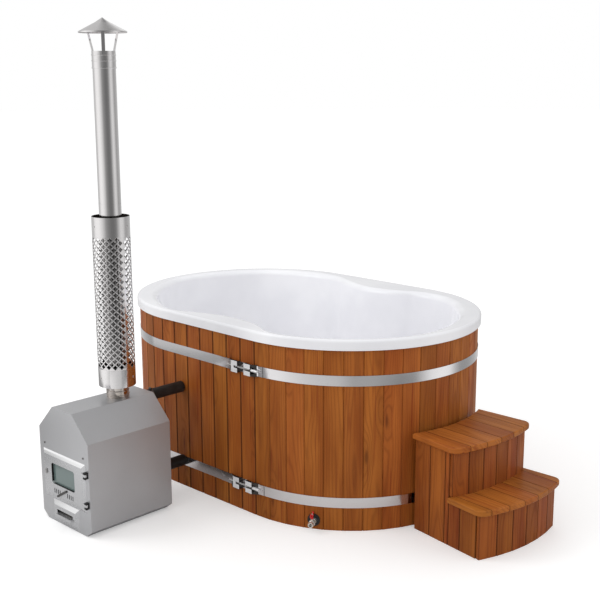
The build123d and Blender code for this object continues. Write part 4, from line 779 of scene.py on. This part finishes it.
pipe_radius, pipe_foot, joint_z = round_size("lower_flue_pipe")
_, nested_low, pipe_head = round_size("upper_flue_pipe")
pipe_inner = pipe_radius - pipe_sheet
nested_radius = pipe_inner - slip_fit
nested_inner = nested_radius - pipe_sheet
sleeve_inner = pipe_radius + slip_fit
collar_ring = spun(beaded("flue_collar", sleeve_inner, collar_sheet, beads=(0.0142, 0.0340),
                          bead_height=0.004, bead_rise=0.0015))
finished(collar_ring, "collar_ring", flue_steel, "tub", "flue_collar")
lower_length = spun([(pipe_radius, pipe_foot), (pipe_radius, joint_z), (pipe_inner, joint_z),
                     (pipe_inner, pipe_foot)])
finished(lower_length, "flue_lower_length", guard_shaded_steel, "tub", "lower_flue_pipe")
upper_length = spun([(pipe_radius, joint_z + joint_gap), (pipe_radius, pipe_head), (pipe_inner, pipe_head),
                     (nested_inner, pipe_head - 0.002), (nested_inner, nested_low),
                     (nested_radius, nested_low), (nested_radius, joint_z + joint_gap / 2)])
finished(upper_length, "flue_upper_length", flue_steel, "tub", "upper_flue_pipe")
sleeve_ring = spun(beaded("cap_sleeve", sleeve_inner, pipe_sheet, beads=(0.0040, 0.0357, 0.0618),
                          bead_height=0.006, bead_rise=0.0022))
finished(sleeve_ring, "sleeve_ring", flue_steel, "tub", "cap_sleeve")

cap_radius, cap_low, cap_high = round_size("rain_cap")
cap_inner = cap_radius - pipe_sheet
crown_radius = 0.0395
tip_radius = 0.0002
tip_rise = cap_high - cap_low
cap_outside = [(cap_radius, 0), (cap_radius + 0.0002, 0.0055), (cap_radius - 0.0010, 0.0065),
               (crown_radius + 0.0055, 0.0406), (crown_radius + 0.0040, 0.0418),
               (crown_radius + 0.0020, 0.0426), (crown_radius, 0.0428), (tip_radius, tip_rise)]
cap_inside = [(tip_radius, tip_rise - pipe_sheet), (crown_radius, 0.0400), (crown_radius + 0.0045, 0.0395),
              (cap_inner, 0.0048), (cap_inner, 0)]
rain_hood = spun([(radius, cap_low + rise) for radius, rise in cap_outside + cap_inside])
finished(rain_hood, "rain_hood", flue_steel, "tub", "rain_cap", 60)
dressed("hood_straps", "cap_struts", flue_steel, rounding=0.0004)


# Heat guard: a wider tube of perforated stainless sheet round the hot pipe. Diamond holes in staggered
# rows leave a lattice between two plain bands, and spacers hold it off the pipe.

guard_columns = 18
guard_rows = 21
guard_band = 0.090
lattice_line = 0.0030
guard_radius, guard_foot, guard_head = round_size("heat_guard")
guard_round = 2 * math.pi * guard_radius
lattice_low = guard_foot + guard_band
lattice_high = guard_head - guard_band
guard = bmesh.new()
bmesh.ops.create_grid(guard, x_segments=guard_columns, y_segments=guard_rows, size=0.5)
for vert in guard.verts:
    vert.co = Vector(((vert.co.x + 0.5) * guard_round, 0,
                      lattice_low + (vert.co.y + 0.5) * (lattice_high - lattice_low)))
straight = list(guard.edges)
bmesh.ops.poke(guard, faces=guard.faces)
bmesh.ops.dissolve_edges(guard, edges=[edge for edge in straight if edge.is_valid and not edge.is_boundary],
                         use_verts=False)
diamonds = [face for face in guard.faces if len(face.verts) == 4]
bmesh.ops.subdivide_edges(guard, edges=guard.edges, cuts=1)
bmesh.ops.inset_individual(guard, faces=diamonds, thickness=lattice_line)
bmesh.ops.delete(guard, geom=diamonds, context="FACES")
for vert in guard.verts:
    turn = vert.co.x / guard_radius
    vert.co = Vector((flue_x + guard_radius * math.cos(turn), flue_y + guard_radius * math.sin(turn),
                      vert.co.z))
bmesh.ops.remove_doubles(guard, verts=guard.verts, dist=0.0001)
for low, high in ((guard_foot, lattice_low), (lattice_high, guard_head)):
    ends = [guard.verts.new((flue_x + guard_radius, flue_y, height)) for height in (low, high)]
    bmesh.ops.spin(guard, geom=ends + [guard.edges.new(ends)], cent=(flue_x, flue_y, 0), axis=(0, 0, 1),
                   angle=2 * math.pi, steps=pipe_steps, use_merge=True)
bmesh.ops.recalc_face_normals(guard, faces=guard.faces)


def faces_inward(face):
    middle = face.calc_center_median()
    return face.normal.dot(middle - Vector((flue_x, flue_y, middle.z))) < 0


bmesh.ops.reverse_faces(guard, faces=[face for face in guard.faces if faces_inward(face)])
guard_piece = finished(guard, "guard_tube", guard_steel, "tub", "heat_guard", 40)
# Painted shade: the inside face of the guard is dark steel.
guard_piece.data.materials.append(brushed_steel("guard_inside_shade_steel", rgb(66, 60, 56), (9, 9, 500), 0.45))
sheet = guard_piece.modifiers.new("sheet", "SOLIDIFY")
sheet.thickness = pipe_sheet
sheet.offset = -1
sheet.material_offset = 1
guard_piece.modifiers.move(0, 1)
dressed("guard_spacers", "guard_fixings", flue_steel, rounding=0.0004)


# Steps: two treads of planks with rounded edges over curved fronts and straight sides of upright boards,
# the same oiled softwood. They stand free beside the tub, and battens inside hold the boards.

step_wood = oiled_wood("step_wood", rgb(168, 93, 38), rgb(142, 71, 26), rgb(96, 42, 13),
                       ring_width=0.0085, roughness=0.50, ground_shade=0.12, seam_shade_share=0.62)
# Painted light: the treads are a lighter copy of the step wood, for the light on their upper faces.
lit_tread_wood = oiled_wood("lit_tread_wood", rgb(176, 104, 42), rgb(152, 85, 30), rgb(110, 55, 17),
                        ring_width=0.0080, roughness=0.42, seam_shade_share=0.80)
step_turn = math.radians(-4.4)
step_along = Vector((math.cos(step_turn), math.sin(step_turn), 0))
step_across = Vector((-math.sin(step_turn), math.cos(step_turn), 0))


def tread_outline(sides):
    """A test that picks the edges round a tread, and none of those between its planks."""
    def outline(edge):
        flat = any(abs(face.normal.z) > 0.99 for face in edge.link_faces)
        beside = any(abs(face.normal.dot(step_across)) > 0.999 for face in edge.link_faces)
        at_side = min(abs(edge.verts[0].co.dot(step_across) - side) for side in sides) < 0.002
        return flat and (at_side or not beside)
    return outline


for part in ("upper", "lower"):
    reaches = [vert.co.dot(step_across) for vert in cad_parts[part + "_tread_planks"].data.vertices]
    boarded(part + "_tread", part + "_tread_planks", step_along, lit_tread_wood, 0.0014,
            tread_outline((min(reaches), max(reaches))), 0.007)
    boarded(part + "_front", part + "_riser_boards", upright, step_wood, 0.0012)
boarded("step_sides", "step_side_boards", upright, step_wood, 0.0012)
boarded("step_rails", "step_battens", step_along, frame_wood, 0.0015)


# Studio: a plain white floor that keeps the soft shadows, an even white world, one large soft lamp high on
# the left, and a curtain of greys all round that shows only in reflections.

def placed(shape, name):
    """An object of the studio from a bmesh."""
    mesh = bpy.data.meshes.new(name)
    shape.to_mesh(mesh)
    shape.free()
    piece = bpy.data.objects.new(name, mesh)
    bpy.context.scene.collection.objects.link(piece)
    return piece


ground = bmesh.new()
bmesh.ops.create_circle(ground, cap_ends=True, segments=96, radius=60)
floor = placed(ground, "studio_floor")
floor.location.z = -0.0005
paper = Finish("floor_paper", Base_Color=(0.70, 0.70, 0.70, 1), Roughness=0.9, Specular_IOR_Level=0.0)


def seen_by(tree, *rays):
    """1 for the kinds of ray that are named, 0 for the others."""
    path = tree.nodes.new("ShaderNodeLightPath")
    total = path.outputs[rays[0]]
    for name in rays[1:]:
        either = tree.nodes.new("ShaderNodeMath")
        either.operation = "MAXIMUM"
        tree.links.new(total, either.inputs[0])
        tree.links.new(path.outputs[name], either.inputs[1])
        total = either.outputs[0]
    return total


def either_shader(tree, chosen, first, second, out):
    mixed = tree.nodes.new("ShaderNodeMixShader")
    tree.links.new(chosen, mixed.inputs[0])
    tree.links.new(first.outputs[0], mixed.inputs[1])
    tree.links.new(second.outputs[0], mixed.inputs[2])
    tree.links.new(mixed.outputs[0], out.inputs["Surface"])


shaded = paper.tree.nodes.new("ShaderNodeBsdfDiffuse")
shaded.inputs["Color"].default_value = (0.82, 0.82, 0.82, 1)
glow = paper.tree.nodes.new("ShaderNodeEmission")
glow.inputs["Strength"].default_value = 0.29
bright = paper.tree.nodes.new("ShaderNodeAddShader")
paper.tree.links.new(shaded.outputs[0], bright.inputs[0])
paper.tree.links.new(glow.outputs[0], bright.inputs[1])
either_shader(paper.tree, seen_by(paper.tree, "Is Camera Ray", "Is Transmission Ray"), paper.shader, bright,
              paper.tree.nodes["Material Output"])
floor.data.materials.append(paper.material)

world = bpy.data.worlds.new("studio")
world.use_nodes = True
bpy.context.scene.world = world
sky = world.node_tree
sky.nodes.clear()
lit = sky.nodes.new("ShaderNodeBackground")
lit.inputs["Color"].default_value = (1, 1, 1, 1)
lit.inputs["Strength"].default_value = 0.95
white = sky.nodes.new("ShaderNodeBackground")
white.inputs["Color"].default_value = (1, 1, 1, 1)
either_shader(sky, seen_by(sky, "Is Camera Ray", "Is Glossy Ray", "Is Transmission Ray"), lit, white,
              sky.nodes.new("ShaderNodeOutputWorld"))

light = bpy.data.lights.new("left_window", "AREA")
light.shape = "DISK"
light.size = 3.0
light.energy = 70
lamp = bpy.data.objects.new("left_window", light)
lamp.location = (-2.8, -4.0, 4.4)
lamp.rotation_euler = (Vector((0.0, -0.3, 0.5)) - lamp.location).to_track_quat("-Z", "Y").to_euler()
bpy.context.scene.collection.objects.link(lamp)

# The curtain's greys are pairs of azimuth in degrees and level, and they change with height.
curtain_reach = 2.0
curtain_turn = 144
low_levels = (
    (-180, 0.70), (-160, 0.50), (-135, 0.30), (-119, 0.22), (-108, 0.28), (-97, 0.60), (-86, 0.61),
    (-76, 0.48), (-66, 0.38), (-56, 0.31), (-46, 0.33), (-38, 0.37), (-32, 0.33), (-29, 0.34),
    (-26, 0.46), (-23, 0.86), (-18, 0.92), (-10, 0.95), (-2, 0.93), (10, 0.80), (21, 0.69),
    (32, 0.63), (43, 0.58), (52, 0.41), (62, 0.40), (71, 0.33), (80, 0.26), (89, 0.30), (95, 0.60),
    (101, 0.86), (109, 0.95), (117, 0.90), (124, 0.50), (130, 0.33), (141, 0.34), (153, 0.43),
    (166, 0.57), (180, 0.70),
)
high_levels = (
    (-180, 0.45), (-140, 0.55), (-70, 0.60), (-50, 0.62), (-40, 0.60), (-32, 0.90), (-25, 1.00),
    (-15, 1.00), (-8, 0.86), (-1, 0.64), (7, 0.33), (15, 0.24), (25, 0.18), (36, 0.17), (50, 0.21),
    (58, 0.30), (67, 0.46), (78, 0.62), (88, 0.76), (113, 0.69), (128, 0.50), (142, 0.38),
    (165, 0.42), (180, 0.45),
)
row_heights = (-0.1, 0.46, 0.60, 2.7, 3.2, 4.2, 5.6, 9.0)
low_rows = 2
plain_rows = 4
behind_levels = (1.0, 0.6, 0.2, 0.5)
behind_azimuth = -132
behind_width = 52


def level_at(levels, azimuth):
    for (start, first), (finish, second) in zip(levels, levels[1:]):
        if azimuth <= finish:
            return first + (second - first) * (azimuth - start) / (finish - start)
    return levels[-1][1]


curtain = bmesh.new()
bmesh.ops.create_grid(curtain, x_segments=curtain_turn, y_segments=len(row_heights) - 1, size=0.5)
level = curtain.verts.layers.float.new("level")
for vert in curtain.verts:
    azimuth = vert.co.x * 360
    row = round((vert.co.y + 0.5) * (len(row_heights) - 1))
    vert[level] = level_at(low_levels if row < low_rows else high_levels, azimuth)
    if row >= plain_rows:
        share = max(0.0, 1 - abs(azimuth - behind_azimuth) / behind_width) ** 0.5
        vert[level] += (behind_levels[row - plain_rows] - vert[level]) * share
    height = row_heights[row] - (0.10 * row if row in (1, 2) and -60 < azimuth < 0 else 0.0)
    turn = math.radians(azimuth)
    vert.co = Vector((curtain_reach * math.sin(turn), -curtain_reach * math.cos(turn), height))
curtain_piece = placed(curtain, "curtain")
cloth = Finish("curtain_cloth", Base_Color=(0, 0, 0, 1), Specular_IOR_Level=0.0, Emission_Strength=1.0)
share = cloth.node("Attribute", {"attribute_name": "level"}, {}, 2)
cloth.give(Emission_Color=cloth.mix(share, (0, 0, 0, 1), (1, 1, 1, 1)))
curtain_piece.data.materials.append(cloth.material)
for kind in ("camera", "diffuse", "shadow", "transmission"):
    setattr(curtain_piece, "visible_" + kind, False)

camera_data = bpy.data.cameras.new("camera")
camera_data.sensor_width = 36
camera_data.lens = 62.583
camera_place = (3.84097, -3.94785, 2.11986)
camera_heading = math.radians(44.3437)
camera_dip = math.radians(12.2024)
camera_roll = math.radians(-0.2279)
camera = bpy.data.objects.new("camera", camera_data)
camera.matrix_world = (Matrix.Translation(camera_place) @ Matrix.Rotation(camera_heading, 4, "Z")
                       @ Matrix.Rotation(math.radians(90) - camera_dip, 4, "X")
                       @ Matrix.Rotation(camera_roll, 4, "Z"))
bpy.context.scene.collection.objects.link(camera)
bpy.context.scene.camera = camera
bpy.context.scene.view_settings.view_transform = "Standard"
